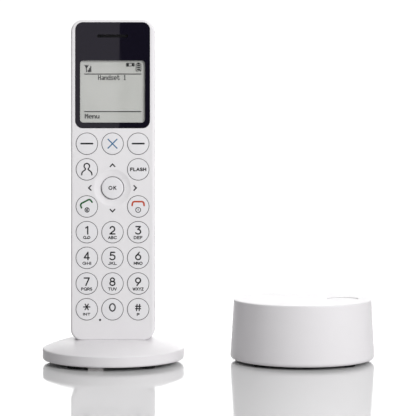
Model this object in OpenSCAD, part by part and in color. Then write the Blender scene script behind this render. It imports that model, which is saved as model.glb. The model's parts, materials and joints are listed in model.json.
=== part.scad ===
// Cordless telephone set: a slim handset standing in a round charging cradle,
// and a separate round base station. Millimetres, +Z up, front towards -Y,
// origin on the desk under the middle of the whole set.

/* [Set] */
// Distance from the cradle's axis to the base station's axis, left to right
set_spacing = 100.6; // [90:0.1:140]
// How far the base station stands behind the cradle
set_stagger = 5; // [0:0.5:15]

/* [Handset] */
// Width across the face
handset_w = 44; // [43.5:0.1:46]
// Length along the face
handset_l = 169; // [169:0.5:175]
// Thickness from face to back
handset_t = 20.4; // [20.4:0.1:21]
// Corner radius seen from the front
handset_corner = 6.4; // [6:0.1:7]
// Rounding of the edge around the face
face_edge = 1.2; // [0.8:0.1:1.4]
// Rounding of the edge around the back
back_edge = 4; // [3.4:0.1:4.2]
// Thickness of the moulded walls
wall = 1.8; // [1.6:0.1:1.8]
// How far the handset leans back in the cradle, in degrees
lean = 3.5; // [2:0.1:5]

/* [Keypad] */
// Distance between key centres, across and along
key_pitch = 13.5; // [13.4:0.1:13.6]
// Diameter of a key cap
key_d = 11.2; // [10.8:0.1:11.3]
// Gap around a key cap
key_gap = 0.25; // [0.15:0.01:0.25]
// How far a key cap stands above the face
key_rise = 0.35; // [0.2:0.05:0.6]
// Travel of a key
key_travel = 0.5; // [0.3:0.05:0.55]
// Height of the lowest key row above the handset's bottom
first_row = 16.6; // [16.4:0.1:17]
// Diameter of the navigation key
nav_d = 11.4; // [11.2:0.1:12]
// How far the navigation key stands above the face
nav_rise = 0.7; // [0.4:0.1:1.2]
// Diameter of the dish around the navigation key
dish_d = 19.4; // [18:0.1:20]

/* [Display] */
// Width of the display lens
lens_w = 39.2; // [39:0.1:39.4]
// Height of the display lens
lens_h = 55.7; // [55:0.1:56]
// Corner radius of the display lens
lens_corner = 3.9; // [3:0.1:4.4]
// Gap from the lens to the top of the handset
lens_top_gap = 1.5; // [1.4:0.1:2]
// Thickness of the display lens
lens_t = 1.2; // [1:0.1:1.2]

/* [Cradle] */
// Radius of the cradle's rim
cradle_r = 37.45; // [37:0.05:38]
// Height of the rim's top edge above the desk
cradle_rim_z = 7.75; // [7.6:0.05:8.2]
// Height of the cradle's flat middle above the desk
cradle_top_z = 13.1; // [12.95:0.05:13.5]
// Radius of the flat middle, where the dome starts to fall
cradle_flat_r = 14; // [12:0.5:15]
// Height of the cradle's feet
cradle_foot_h = 2; // [1.5:0.1:2.2]

/* [Base station] */
// Radius at the bottom
base_r = 38.35; // [38:0.05:40]
// Radius at the top
base_top_r = 36.65; // [36.3:0.05:38]
// Height of the top above the desk
base_top_z = 33.1; // [32:0.1:36]
// Height of the feet
base_foot_h = 1.5; // [1.2:0.1:2]
// Radius of the page button
page_r = 8.2; // [6:0.1:9]
// How far the page button sits to the right of the middle
page_x = 21.5; // [20:0.1:23]

/* [Hidden] */
$fn = 48;

white = [0.93, 0.93, 0.94];
key_white = [0.92, 0.92, 0.93];
black = [0.06, 0.06, 0.07];
board_green = [0.1, 0.35, 0.2];
steel = [0.7, 0.7, 0.72];
gold = [0.85, 0.68, 0.35];
slack = 1;          // how far a cut runs past the face it opens

// Places of the two stands; the set is centred on the origin
cradle_x = cradle_r - (set_spacing + cradle_r + base_r) / 2;
cradle_y = -(set_stagger + base_r - cradle_r) / 2;
base_x = cradle_x + set_spacing;
base_y = cradle_y + set_stagger;

// Handset depths below its face, in the handset's own frame:
// X right, Y up along the face from the bottom, Z out of the face
face_wall = 1.6;
split = -8;                                  // where the two shells meet
flange_z = -face_wall - 0.1;                 // top of the key flanges
flange_t = 0.5;
mat_z = flange_z - flange_t - key_travel - 0.1;
mat_t = 0.8;
plunger_end = mat_z - mat_t - 0.2;
board_z = plunger_end - key_travel - 0.4;    // front of the circuit board
board_t = 1;
back = -handset_t;
cover_t = 1.6;
recess_floor = back + cover_t + 0.1;         // where the battery cover lies
recess_t = 1.8;
socket_z = -13.2;                            // middle of the charging socket
seat_z = 11.83;                              // desk to the handset's bottom, in its middle

// Key rows: four number rows and the call row are one pitch apart
function row_y(i) = first_row + i * key_pitch;
call_y = row_y(4);
nav_y = call_y + 9.75;
menu_y = call_y + 19.5;
soft_y = menu_y + key_pitch;
number_places = [for (i = [0:3]) for (c = [-1:1]) [c * key_pitch, row_y(i)]];
call_places = [for (c = [-1, 1]) [c * key_pitch, call_y]];
menu_places = [for (c = [-1, 1]) [c * key_pitch, menu_y]];
soft_places = [for (c = [-1:1]) [c * key_pitch, soft_y]];
key_places = concat(number_places, call_places, menu_places, soft_places);

// Display
lens_y = handset_l - lens_top_gap - lens_h;
lens_gap = 0.1;
lcd_w = 36.4;
lcd_h = 35.6;
lcd_y = lens_y + 1.2;
lcd_t = 1.8;
lcd_z = -lens_t - 0.25;
slot_y = 160.3;                              // earpiece slot
slot_w = 16.3;
slot_h = 1.6;
mic = [-6.5, 11];
mic_hole_r = 0.6;
speaker_y = 124;
speaker_r = 8;                               // reach of the slots over the loudspeaker

// Battery compartment and its cover
cell_r = 5.25;
cell_l = 44.5;
cell_x = cell_r + 0.3;
bay_w = 22.8;
bay_y = 16;
bay_l = 50.5;
bay_wall = 1;
bay_floor = -7.8;
cell_z = bay_floor - 0.2 - cell_r;
cell_y = bay_y + 3;
cover_w = 34;
cover_y = 11;
cover_l = 62;
cover_gap = 0.2;
cover_slide = 6.5;
hook_x = 14.8;
hook_w = 1.2;
hook_l = 4;
hook_foot = 1.2;
hook_places = [28, 58];
handset_screw_x = 15.6;
handset_screw_places = [for (y = [18.5, 96]) for (side = [-1, 1]) [side * handset_screw_x, y]];
screw_r = 0.85;
screw_head_r = 1.6;
boss_r = 2.2;

// Charging tongue and socket
tongue_w = 20;
tongue_t = 7.2;
tongue_h = 5.6;
socket_w = 21.6;
socket_t = 8.4;
socket_h = 7.2;
socket_wall = 1.2;
contact_x = 6;
pin_r = 1.3;
pin_gap = 0.1;
pin_top = 6.65;
pin_head_r = 2.1;
pin_head_h = 0.6;
seat_gap = 0.3;
seat_pad = 2.2;

// Cradle
dome_dx = cradle_r - cradle_flat_r;
dome_drop = cradle_top_z - cradle_rim_z;
dome_r = (dome_dx * dome_dx + dome_drop * dome_drop) / (2 * dome_drop);
dome_cz = cradle_top_z - dome_r;
rim_round = 0.6;
cradle_lip = 1.2;            // rounding of the bottom edge
plate_t = 1.2;
cradle_plate_top = cradle_foot_h + plate_t;
cradle_bosses = [20, 160, 270];
cradle_boss_at = 28;
cradle_boss_top = 10.4;
cradle_boss_r = 2.6;
cradle_feet_at = 29;
cradle_feet_angles = [50, 130, 230, 310];
ballast_t = 3;
ballast_r = 24.5;
ballast_window = [26, 18];
cradle_board = [24, 16, 1];
front_pad = [3.6, 7.8];
front_pad_at = 30.2;
front_pad_angle = 257;
inlet_z = 5.45;
inlet_r = 1.5;
inlet_mouth_r = 1.9;
inlet_hole_l = 5.5;          // through the rim and the thin roof behind it
inlet_w = 5.6;
inlet_h = 4.4;
inlet_l = 10;
inlet_nose = 2.2;            // round end that reaches through the rim
inlet_y = cradle_r - 0.6;
inlet_gap = 0.15;

// Base station
base_wall = 2;
base_round = 0.7;
base_lip = 1.8;              // rounding of the bottom edge
base_plate_t = 1.8;
base_board_z = 8;
base_board_t = 1.6;
base_screw_angles = [30, 150, 270];
base_screw_at = 29;
base_feet_at = 29.7;
base_foot_r = 5.25;
base_boss_r = 2.8;
base_feet_angles = [45, 135, 225, 315];
base_stand_angles = [75, 105, 190, 350];  // pillars under the circuit board
line_x = -7.5;
base_inlet_x = 8;
base_inlet_z = 14.4;
base_inlet_r = 2.75;
base_inlet_mouth_r = 2.95;
line_w = 12;
line_h = 10;
line_d = 14;
line_hole_w = 9.7;
line_hole_h = 6.8;
niche_w = 31;                // flat-floored niche at the back, for both sockets
niche_h = 14;
niche_y = 34.5;
niche_z = 7.5;
niche_wall = 1.5;
base_back_y = niche_y - 0.1; // rear face of both sockets
base_board_r = 32;
page_travel = 0.6;
page_stem_end = 14.9;

// ---- Shared shapes ----

// Rounded rectangle standing on the X axis
module outline(w, l, r) {
    translate([-w / 2 + r, 0]) square([w - 2 * r, l]);
    translate([-w / 2, r]) square([w, l - 2 * r]);
    for (x = [-w / 2 + r, w / 2 - r]) {
        for (y = [r, l - r]) {
            translate([x, y]) circle(r);
        }
    }
}

// Rounded plate between two depths
module plate(w, l, r, z0, z1) {
    translate([0, 0, z0]) linear_extrude(z1 - z0) outline(w, l, r);
}

// Cross-section of a rounded rim, from its middle outwards
module edge_section(reach, z0, z1, r0, r1) {
    intersection() {
        translate([0, z0]) square([reach, z1 - z0]);
        union() {
            translate([0, z0 + r0]) square([reach, z1 - z0 - r0 - r1]);
            if (r0 > 0) {
                translate([0, z0]) square([reach - r0, r0]);
                translate([reach - r0, z0 + r0]) circle(r0);
            }
            if (r1 > 0) {
                translate([0, z1 - r1]) square([reach - r1, r1]);
                translate([reach - r1, z1 - r1]) circle(r1);
            }
        }
    }
}

// Slab with rounded corners r and rounded edges r0 (back) and r1 (front)
module slab(w, l, r, z0, z1, r0, r1) {
    half = w / 2 - r;
    translate([-half, r, z0]) cube([2 * half, l - 2 * r, z1 - z0]);
    for (side = [0, 1]) {
        mirror([side, 0, 0]) {
            translate([half, l - r, 0])
                rotate([90, 0, 0])
                    linear_extrude(l - 2 * r) edge_section(r, z0, z1, r0, r1);
            translate([half, l - r, 0])
                rotate_extrude(angle = 90) edge_section(r, z0, z1, r0, r1);
            translate([half, r, 0])
                mirror([0, 1, 0])
                    rotate_extrude(angle = 90) edge_section(r, z0, z1, r0, r1);
        }
    }
    translate([-half, l - r, 0])
        rotate([90, 0, 90])
            linear_extrude(2 * half) edge_section(r, z0, z1, r0, r1);
    translate([-half, r, 0])
        mirror([0, 1, 0])
            rotate([90, 0, 90])
                linear_extrude(2 * half) edge_section(r, z0, z1, r0, r1);
}

// From the handset's own frame to its place in the cradle
module at_handset() {
    translate([cradle_x, cradle_y, seat_z])
        rotate([90 - lean, 0, 0])
            translate([0, 0, handset_t / 2]) children();
}

module at_cradle() {
    translate([cradle_x, cradle_y, 0]) children();
}

module at_base() {
    translate([base_x, base_y, 0]) children();
}

module at_places(places) {
    for (p = places) {
        translate([p[0], p[1], 0]) children();
    }
}

module around(angles, radius) {
    for (a = angles) {
        rotate(a) translate([radius, 0, 0]) children();
    }
}

// Cross-slotted screw: head below, shank going up
module screw(head_r, head_h, shank_r, shank_l) {
    difference() {
        cylinder(r = head_r, h = head_h);
        translate([-head_r * 0.6, -0.15, -slack]) cube([head_r * 1.2, 0.3, slack + 0.35]);
        translate([-0.15, -head_r * 0.6, -slack]) cube([0.3, head_r * 1.2, slack + 0.35]);
    }
    cylinder(r = shank_r, h = head_h + shank_l);
}

// Round-topped disc: a crowned cap with a softened edge, top at z = 0
module crowned_disc(r, h, crown, edge) {
    crown_r = (r * r + crown * crown) / (2 * crown);
    rotate_extrude()
        intersection() {
            translate([0, -h]) square([r, h]);
            translate([0, -crown_r]) circle(crown_r, $fn = 180);
            union() {
                translate([0, -h]) square([r, h - edge - crown]);
                translate([0, -h]) square([r - edge, h]);
                translate([r - edge, -edge - crown]) circle(edge);
            }
        }
}

// ---- Cradle ----

module dome_section(inset) {
    r = dome_r - inset;
    side = cradle_r - inset;
    soft = rim_round;
    fx = side - soft;
    fz = dome_cz + sqrt(pow(r - soft, 2) - pow(fx - cradle_flat_r, 2));
    tx = cradle_flat_r + r / (r - soft) * (fx - cradle_flat_r);
    square([side, fz]);
    square([cradle_flat_r, cradle_top_z - inset]);
    intersection() {
        square([tx, cradle_top_z]);
        translate([cradle_flat_r, dome_cz]) circle(r, $fn = 180);
    }
    translate([fx, fz]) circle(soft);
}

// Solid under the domed skin, from z0 up, with its bottom edge rounded by lip
module cradle_dome(inset, z0, lip = 0) {
    side = cradle_r - inset;
    rotate_extrude()
        intersection() {
            dome_section(inset);
            union() {
                translate([0, z0 + lip]) square([side, cradle_top_z]);
                if (lip > 0) {
                    translate([0, z0]) square([side - lip, 2 * lip]);
                    translate([side - lip, z0 + lip]) circle(lip);
                }
            }
        }
}

// Space the handset's foot takes up, with a gap all round
module seat_cut() {
    translate([0, -seat_gap + 0.2, 0])
        slab(handset_w + 2 * seat_gap, 20, handset_corner + seat_gap,
             back - seat_gap, seat_gap, back_edge, face_edge);
}

module cradle_shell() {
    color(white) difference() {
        union() {
            cradle_body();
            at_handset() translate([0, -seat_pad, 0])
                plate_block(tongue_w, tongue_h + seat_pad, tongue_t, socket_z);
        }
        at_handset() for (x = [-contact_x, contact_x]) {
            translate([x, -2 * seat_pad, socket_z])
                rotate([-90, 0, 0]) cylinder(r = pin_r + pin_gap, h = 12);
            translate([x, -3 * seat_pad, socket_z])
                rotate([-90, 0, 0]) cylinder(r = 2.4, h = 2 * seat_pad);
        }
    }
}

// Domed skin with the seat for the handset and the screw bosses
module cradle_body() {
    difference() {
        union() {
            at_cradle() difference() {
                cradle_dome(0, cradle_foot_h, cradle_lip);
                cradle_dome(wall, cradle_foot_h - slack);
                translate([0, 0, cradle_foot_h - slack])
                    cylinder(r = cradle_r - wall, h = slack + 0.1);
            }
            intersection() {
                at_cradle() cradle_dome(0.3, cradle_foot_h);
                at_handset()
                    translate([-21, -seat_pad, back - 1]) cube([42, 2 * seat_pad, handset_t + 2]);
            }
            at_cradle() around(cradle_bosses, cradle_boss_at)
                translate([0, 0, cradle_plate_top])
                    cylinder(r = cradle_boss_r, h = cradle_boss_top - cradle_plate_top);
        }
        at_handset() seat_cut();
        at_cradle() around(cradle_bosses, cradle_boss_at)
            translate([0, 0, cradle_foot_h]) cylinder(r = screw_r + 0.03, h = 5);
        at_cradle() translate([0, cradle_r + slack, inlet_z])
            rotate([90, 0, 0]) cylinder(r = inlet_mouth_r + 0.3, h = inlet_hole_l);
        at_cradle()
            translate([-inlet_w / 2 - inlet_gap, inlet_y - inlet_l - inlet_gap,
                       inlet_z - inlet_h / 2 - inlet_gap])
            cube([inlet_w + 2 * inlet_gap, inlet_l - inlet_nose + 2 * inlet_gap,
                  inlet_h + 2 * inlet_gap]);
    }
}

// Upright block with a rounded plan, standing along Y in the handset's frame
module plate_block(w, h, t, zc) {
    soft = 1.6;
    translate([0, 0, zc])
        rotate([-90, 0, 0])
            translate([0, -t / 2, 0]) linear_extrude(h) outline(w, t, soft);
}

module cradle_base_plate() {
    color([0.85, 0.85, 0.86]) at_cradle() difference() {
        translate([0, 0, cradle_foot_h]) cylinder(r = cradle_r - wall - 0.15, h = plate_t);
        around(cradle_bosses, cradle_boss_at) {
            translate([0, 0, cradle_foot_h - slack]) cylinder(r = screw_r + 0.1, h = 4);
            translate([0, 0, cradle_foot_h - slack])
                cylinder(r = screw_head_r + 0.15, h = slack + 0.8);
        }
        around(cradle_feet_angles, cradle_feet_at)
            translate([0, 0, cradle_foot_h - slack]) cylinder(r = 2.05, h = slack + 0.65);
    }
}

module cradle_ballast() {
    color(steel) at_cradle() translate([0, 0, cradle_plate_top + 0.05]) difference() {
        cylinder(r = ballast_r, h = ballast_t);
        translate([-ballast_window[0] / 2, -7, -slack])
            cube([ballast_window[0], ballast_window[1], ballast_t + 2 * slack]);
        for (x = [-19, 19]) {
            translate([x, 0, -slack]) cylinder(r = 1.5, h = ballast_t + 2 * slack);
        }
    }
}

module cradle_pcb() {
    z = cradle_plate_top + 0.05;
    color(board_green) at_cradle() translate([-cradle_board[0] / 2, -6, z]) cube(cradle_board);
    color(gold) at_cradle() for (x = [-contact_x, contact_x]) {
        translate([x - 1.2, -4, z + 1]) cube([2.4, 1.2, 1.6]);
        translate([x - 1.2, -4, z + 2.6]) cube([2.4, 10, 0.3]);
    }
}

// Barrel socket: mouth towards +Y, centre pin set back inside
module barrel_inlet(w, h, depth, nose, bore_r, mouth_r, mouth_l, centre_pin_r) {
    difference() {
        union() {
            translate([-w / 2, -depth, -h / 2]) cube([w, depth - nose, h]);
            rotate([90, 0, 0]) cylinder(r = mouth_r + 0.25, h = depth);
        }
        translate([0, slack, 0])
            rotate([90, 0, 0]) cylinder(r = mouth_r, h = mouth_l + slack);
        translate([0, -mouth_l + 0.01, 0])
            rotate([90, 0, 0]) cylinder(r = bore_r, h = depth - mouth_l - 1.5);
    }
    translate([0, -mouth_l - 0.4, 0])
        rotate([90, 0, 0]) cylinder(r = centre_pin_r, h = depth - mouth_l - 1);
}

module cradle_dc_inlet() {
    color(black) at_cradle() translate([0, inlet_y, inlet_z])
        barrel_inlet(inlet_w, inlet_h, inlet_l, inlet_nose, inlet_r, inlet_mouth_r, 3, 0.5);
}

module cradle_feet() {
    color(black) at_cradle() around(cradle_feet_angles, cradle_feet_at) {
        cylinder(r = 4, h = cradle_foot_h);
        cylinder(r = 2, h = cradle_foot_h + 0.6);
    }
}

module cradle_front_pad() {
    color([0.85, 0.84, 0.82]) at_cradle() rotate(front_pad_angle)
        translate([front_pad_at, -front_pad[1] / 2, 0]) cube([front_pad[0], front_pad[1], cradle_foot_h]);
}

module cradle_screws() {
    color(steel) at_cradle() around(cradle_bosses, cradle_boss_at)
        translate([0, 0, cradle_foot_h + 0.05]) screw(screw_head_r, 0.7, screw_r, 3.8);
}

module contact_pin(x) {
    color(gold) at_handset() translate([x, 0, socket_z]) rotate([-90, 0, 0]) {
        translate([0, 0, -seat_pad - 0.7]) cylinder(r = pin_head_r, h = pin_head_h);
        translate([0, 0, -seat_pad - 0.7])
            cylinder(r = pin_r, h = pin_top + seat_pad + 0.7 - pin_r);
        translate([0, 0, pin_top - pin_r]) sphere(r = pin_r);
    }
}

module cradle_contact_left() contact_pin(-contact_x);
module cradle_contact_right() contact_pin(contact_x);

// ---- Handset casing ----

module handset_front_shell() {
    inner_w = handset_w - 2 * wall;
    color(white) at_handset() {
        difference() {
            slab(handset_w, handset_l, handset_corner, split, 0, 0, face_edge);
            difference() {
                translate([0, wall, 0])
                    plate(inner_w, handset_l - 2 * wall, handset_corner - wall,
                          split - slack, -face_wall);
                // thicker pad behind the lens
                translate([-inner_w / 2, lens_y - 1.5, -lens_t - 1.4])
                    cube([inner_w, handset_l, lens_t + 1.4]);
                // ring under the dish
                translate([0, nav_y, -face_wall - 0.6]) cylinder(r = dish_d / 2 + 0.3, h = 1);
            }
            at_places(key_places)
                translate([0, 0, -face_wall - slack])
                    cylinder(r = key_d / 2 + key_gap, h = face_wall + 2 * slack);
            translate([0, nav_y, -4]) cylinder(r = nav_d / 2 + 0.4, h = 5);
            translate([0, nav_y, 0]) nav_dish();
            // lens recess, display window, earpiece slot and its mesh seat
            translate([0, lens_y - lens_gap, 0])
                plate(lens_w + 2 * lens_gap, lens_h + 2 * lens_gap, lens_corner + lens_gap,
                      -lens_t - 0.1, slack);
            translate([0, lcd_y - 0.3, 0])
                plate(lcd_w + 0.6, lcd_h + 0.6, 0.8, -4, 0);
            translate([0, slot_y - 2.2, 0]) plate(19.4, 4.4, 1, -lens_t - 0.5, -lens_t);
            translate([0, slot_y - 1.1, 0]) plate(slot_w + 0.6, 2.2, 1, -4, -lens_t);
            translate([mic[0], mic[1], -4]) cylinder(r = mic_hole_r, h = 5);
        }
        // screw bosses tied to the side walls
        for (p = handset_screw_places) {
            side = sign(p[0]);
            difference() {
                union() {
                    translate([p[0], p[1], split]) cylinder(r = boss_r, h = 1.9);
                    translate([side > 0 ? p[0] : -inner_w / 2 - 0.2, p[1] - 1, split])
                        cube([inner_w / 2 + 0.2 - abs(p[0]), 2, 1.9]);
                }
                translate([p[0], p[1], split - slack]) cylinder(r = screw_r + 0.03, h = 4);
            }
        }
    }
}

// Shallow dish around the navigation key: a ring-shaped hollow
module nav_dish() {
    depth = 0.95;
    rise = 4.2;
    dish_r = dish_d / 2;
    curve_r = (pow(dish_r - rise, 2) + depth * depth) / (2 * depth);
    rotate_extrude()
        intersection() {
            union() {
                translate([rise, curve_r - depth]) circle(curve_r, $fn = 180);
                translate([0, -depth]) square([rise, depth + slack]);
            }
            translate([0, -depth]) square([dish_r, depth + 0.002]);
        }
}

module cover_slots() {
    for (side = [0, 1]) {
        mirror([side, 0, 0]) for (y = hook_places) {
            translate([hook_x - hook_w / 2 - 0.2, y - cover_slide - 0.3, recess_floor - slack])
                cube([hook_w + 0.4, cover_slide + hook_l + 0.6, recess_t + 2 * slack]);
            translate([hook_x - hook_w / 2 - hook_foot - 0.2, y - cover_slide - 0.3,
                       recess_floor - slack])
                cube([hook_w + hook_foot + 0.4, hook_l + 0.6, recess_t + 2 * slack]);
        }
    }
}

module handset_back_shell() {
    inner_w = handset_w - 2 * wall;
    inner_r = handset_corner - wall;
    low_l = cover_y + cover_l + 2;
    color(white) at_handset() {
        difference() {
            slab(handset_w, handset_l, handset_corner, back, split, back_edge, 0);
            difference() {
                translate([0, wall, 0])
                    slab(inner_w, handset_l - 2 * wall, inner_r, back + wall, split + slack,
                         back_edge - wall, 0);
                // floor under the battery cover, battery bay walls, charging socket box
                translate([-inner_w / 2 - slack, 0, back]) cube([inner_w + 2 * slack, low_l,
                    recess_floor + recess_t - back]);
                translate([-bay_w / 2 - bay_wall, bay_y - bay_wall, back])
                    cube([bay_w + 2 * bay_wall, bay_l + 2 * bay_wall, handset_t]);
                translate([-socket_w / 2 - socket_wall, 0, back])
                    cube([socket_w + 2 * socket_wall, socket_h + 1.3,
                          socket_z + socket_t / 2 + socket_wall - back]);
                at_places(handset_screw_places)
                    translate([0, 0, back]) cylinder(r = boss_r, h = handset_t);
            }
            // recess for the cover, open at the bottom
            translate([-cover_w / 2 - cover_gap, -slack, back - slack])
                cube([cover_w + 2 * cover_gap, cover_y + cover_l + cover_gap + slack,
                      recess_floor - back + slack]);
            translate([-bay_w / 2, bay_y, back]) cube([bay_w, bay_l, split - back + slack]);
            translate([-socket_w / 2, -slack, socket_z - socket_t / 2])
                cube([socket_w, socket_h + slack, socket_t]);
            cover_slots();
            at_places(handset_screw_places) {
                translate([0, 0, back - slack]) cylinder(r = screw_r + 0.1, h = handset_t);
            }
            screw_counterbores();
            translate([0, speaker_y, 0]) speaker_slots();
        }
        // front wall of the battery bay
        translate([0, bay_y, 0]) difference() {
            translate([-bay_w / 2 - bay_wall, -bay_wall, split - 0.5])
                cube([bay_w + 2 * bay_wall, bay_l + 2 * bay_wall, bay_floor + bay_wall - split + 0.5]);
            translate([-bay_w / 2, 0, split - slack]) cube([bay_w, bay_l, bay_floor - split + slack]);
        }
    }
}

function counterbore_z(p) = p[1] < cover_y + cover_l ? recess_floor : back;

module screw_counterbores() {
    for (p = handset_screw_places) {
        translate([p[0], p[1], counterbore_z(p) - slack])
            cylinder(r = screw_head_r + 0.15, h = slack + 0.9);
    }
}

module speaker_slots() {
    pitch = 2.4;
    for (i = [-3:3]) {
        w = 2 * sqrt(pow(speaker_r, 2) - pow(i * pitch, 2));
        translate([0, i * pitch - 0.5, 0]) plate(w, 1, 0.45, back - slack, back + wall + slack);
    }
}

module battery_cover() {
    color(white) at_handset() {
        difference() {
            translate([0, cover_y, 0])
                plate(cover_w, cover_l, 1.5, back, back + cover_t);
            for (i = [0:4]) {
                translate([0, cover_y + 6 + i * 1.9, 0])
                    plate(14 - abs(i - 2) * 2, 0.9, 0.4, back - slack, back + 0.4);
            }
        }
        for (side = [0, 1]) {
            mirror([side, 0, 0]) for (y = hook_places) {
                translate([hook_x - hook_w / 2, y, back + cover_t - 0.1])
                    cube([hook_w, hook_l, recess_t + 1.2]);
                translate([hook_x - hook_w / 2 - hook_foot, y, recess_floor + recess_t + 0.2])
                    cube([hook_w + hook_foot, hook_l, 0.8]);
            }
        }
    }
}

module handset_screws() {
    color(steel) at_handset() for (p = handset_screw_places) {
        z = counterbore_z(p) + 0.15;
        translate([p[0], p[1], z]) screw(screw_head_r, 0.7, screw_r, split + 1.6 - z - 0.7);
    }
}

// ---- Display and sound ----

module display_lens() {
    color(black) at_handset() difference() {
        translate([0, lens_y, 0]) slab(lens_w, lens_h, lens_corner, -lens_t, 0, 0, 0.25);
        translate([0, slot_y - slot_h / 2, 0]) plate(slot_w, slot_h, 0.75, -lens_t - slack, slack);
    }
}

module lcd_panel() {
    color([0.74, 0.75, 0.72]) at_handset()
        translate([0, lcd_y, 0]) plate(lcd_w, lcd_h, 0.5, lcd_z - lcd_t, lcd_z);
}

module lcd_backlight() {
    color([0.9, 0.9, 0.9]) at_handset() translate([0, lcd_y - 1, 0])
        plate(lcd_w - 0.4, lcd_h + 2.6, 0.5, board_z + 0.05, lcd_z - lcd_t - 0.05);
}

module earpiece_mesh() {
    color([0.2, 0.2, 0.2]) at_handset() difference() {
        translate([0, slot_y - 2, 0]) plate(19, 4, 0.9, -lens_t - 0.42, -lens_t - 0.12);
        for (x = [-7:1:7]) {
            for (y = [-0.5, 0.5]) {
                translate([x, slot_y + y, -3]) cylinder(r = 0.28, h = 3);
            }
        }
    }
}

module earpiece() {
    color(steel) at_handset() translate([0, slot_y, 0]) {
        translate([0, 0, -5.6]) cylinder(r = 6.4, h = 2.6);
        translate([0, 0, -3]) cylinder(r = 5.4, h = 0.3);
    }
}

module loudspeaker() {
    floor_z = back + wall + 0.1;
    color([0.25, 0.25, 0.27]) at_handset() translate([0, speaker_y, floor_z]) {
        difference() {
            cylinder(r = 10, h = 1.4);
            translate([0, 0, -slack]) cylinder(r = 8.6, h = slack + 0.6);
        }
        translate([0, 0, 1.4]) cylinder(r1 = 9, r2 = 6.5, h = 1.4);
        translate([0, 0, 2.8]) cylinder(r = 5, h = 1.6);
    }
}

module microphone() {
    color(steel) at_handset() translate([mic[0], mic[1], -3.4]) cylinder(r = 1.9, h = 1.6);
}

// ---- Handset electronics ----

module handset_pcb() {
    board_w = 38.4;
    bottom = 9.6;
    color(board_green) at_handset() {
        difference() {
            translate([0, bottom, 0])
                plate(board_w, 152.4 - bottom, 1.5, board_z - board_t, board_z);
            for (x = [-17.2, 17.2]) {
                translate([x, 150, board_z - 2]) cylinder(r = 0.8, h = 3);
            }
        }
        // components above the battery bay
        translate([-15, 74, board_z - board_t - 1.6]) cube([6, 8, 1.6]);
        translate([8, 73, board_z - board_t - 2.4]) cube([7, 5, 2.4]);
        translate([-4, 112, board_z - board_t - 1.2]) cube([9, 4, 1.2]);
        translate([9, 138, board_z - board_t - 3]) cylinder(r = 2.5, h = 3);
        translate([-12, 138, board_z - board_t - 1.8]) cube([8, 4, 1.8]);
    }
}

module rf_shield() {
    z = board_z - board_t - 0.02;
    color(steel) at_handset() difference() {
        translate([0, 84, 0]) plate(25, 22, 0.8, z - 1.9, z);
        translate([0, 84.3, 0]) plate(24.4, 21.4, 0.6, z - 1.6, z + slack);
        for (x = [-8:4:8]) {
            translate([x, 95, z - 3]) cylinder(r = 0.7, h = 2);
        }
    }
}

module key_mat() {
    color([0.8, 0.8, 0.82]) at_handset() difference() {
        translate([0, 9.6, 0]) plate(39.2, 100.2, 2, mat_z - mat_t, mat_z);
        at_places(key_places) translate([0, 0, mat_z - 2]) cylinder(r = 2.1, h = 4);
        translate([0, nav_y, mat_z - 2]) cylinder(r = 7.8, h = 4);
        translate([mic[0], mic[1], mat_z - 2]) cylinder(r = 2.3, h = 4);
    }
}

module dome_sheet() {
    sheet_t = 0.12;
    color([0.8, 0.79, 0.7]) at_handset() {
        difference() {
            translate([0, 9.8, 0])
                plate(37.6, 99, 1, board_z + 0.02, board_z + 0.02 + sheet_t);
            translate([0, nav_y, board_z - slack]) cylinder(r = 5.6, h = 3);
            translate([mic[0], mic[1], board_z - slack]) cylinder(r = 2.3, h = 3);
        }
        at_places(key_places) translate([0, 0, board_z + 0.02 + sheet_t / 2])
            cylinder(r1 = 2.4, r2 = 1.3, h = 0.22);
    }
}

module charge_contacts() {
    color(gold) at_handset() for (x = [-contact_x, contact_x]) {
        translate([x - 2.2, socket_h - 0.35, socket_z - 2.6]) cube([4.4, 0.3, 5.2]);
    }
}

module battery_contacts() {
    blade = 0.3;
    color(steel) at_handset() for (side = [0, 1]) {
        mirror([side, 0, 0]) {
            translate([cell_x - 4.4, bay_y + 0.1, cell_z - 4]) cube([8.8, blade, 8]);
            translate([cell_x - 4.4, bay_y + bay_l - 0.1 - blade, cell_z - 4])
                cube([8.8, blade, 8]);
            // leaf spring pressing on the cell's flat end
            translate([cell_x - 2, bay_y + bay_l - 0.1 - blade, cell_z])
                rotate([0, 90, 0]) linear_extrude(4)
                    polygon([[-3, 0], [0, -2.2], [3, 0], [2.5, 0], [0, -1.8], [-2.5, 0]]);
        }
    }
}

module battery_cells() {
    color([0.3, 0.55, 0.35]) at_handset() for (side = [0, 1]) {
        mirror([side, 0, 0])
            translate([cell_x, cell_y, cell_z]) rotate([-90, 0, 0]) {
                cylinder(r = cell_r, h = cell_l - 1);
                translate([0, 0, -1]) cylinder(r = 1.9, h = 1.2);
            }
    }
}

// ---- Keys ----

module key_cap(x, y) {
    color(key_white) at_handset() translate([x, y, 0]) {
        translate([0, 0, key_rise])
            crowned_disc(key_d / 2, key_rise - flange_z, 0.15, 0.25);
        translate([0, 0, flange_z - flange_t]) cylinder(r = key_d / 2 + 0.7, h = flange_t);
        translate([0, 0, plunger_end]) cylinder(r = 1.5, h = flange_z - plunger_end);
    }
}

module number_key(column, row) key_cap(column * key_pitch, row_y(row));

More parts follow.
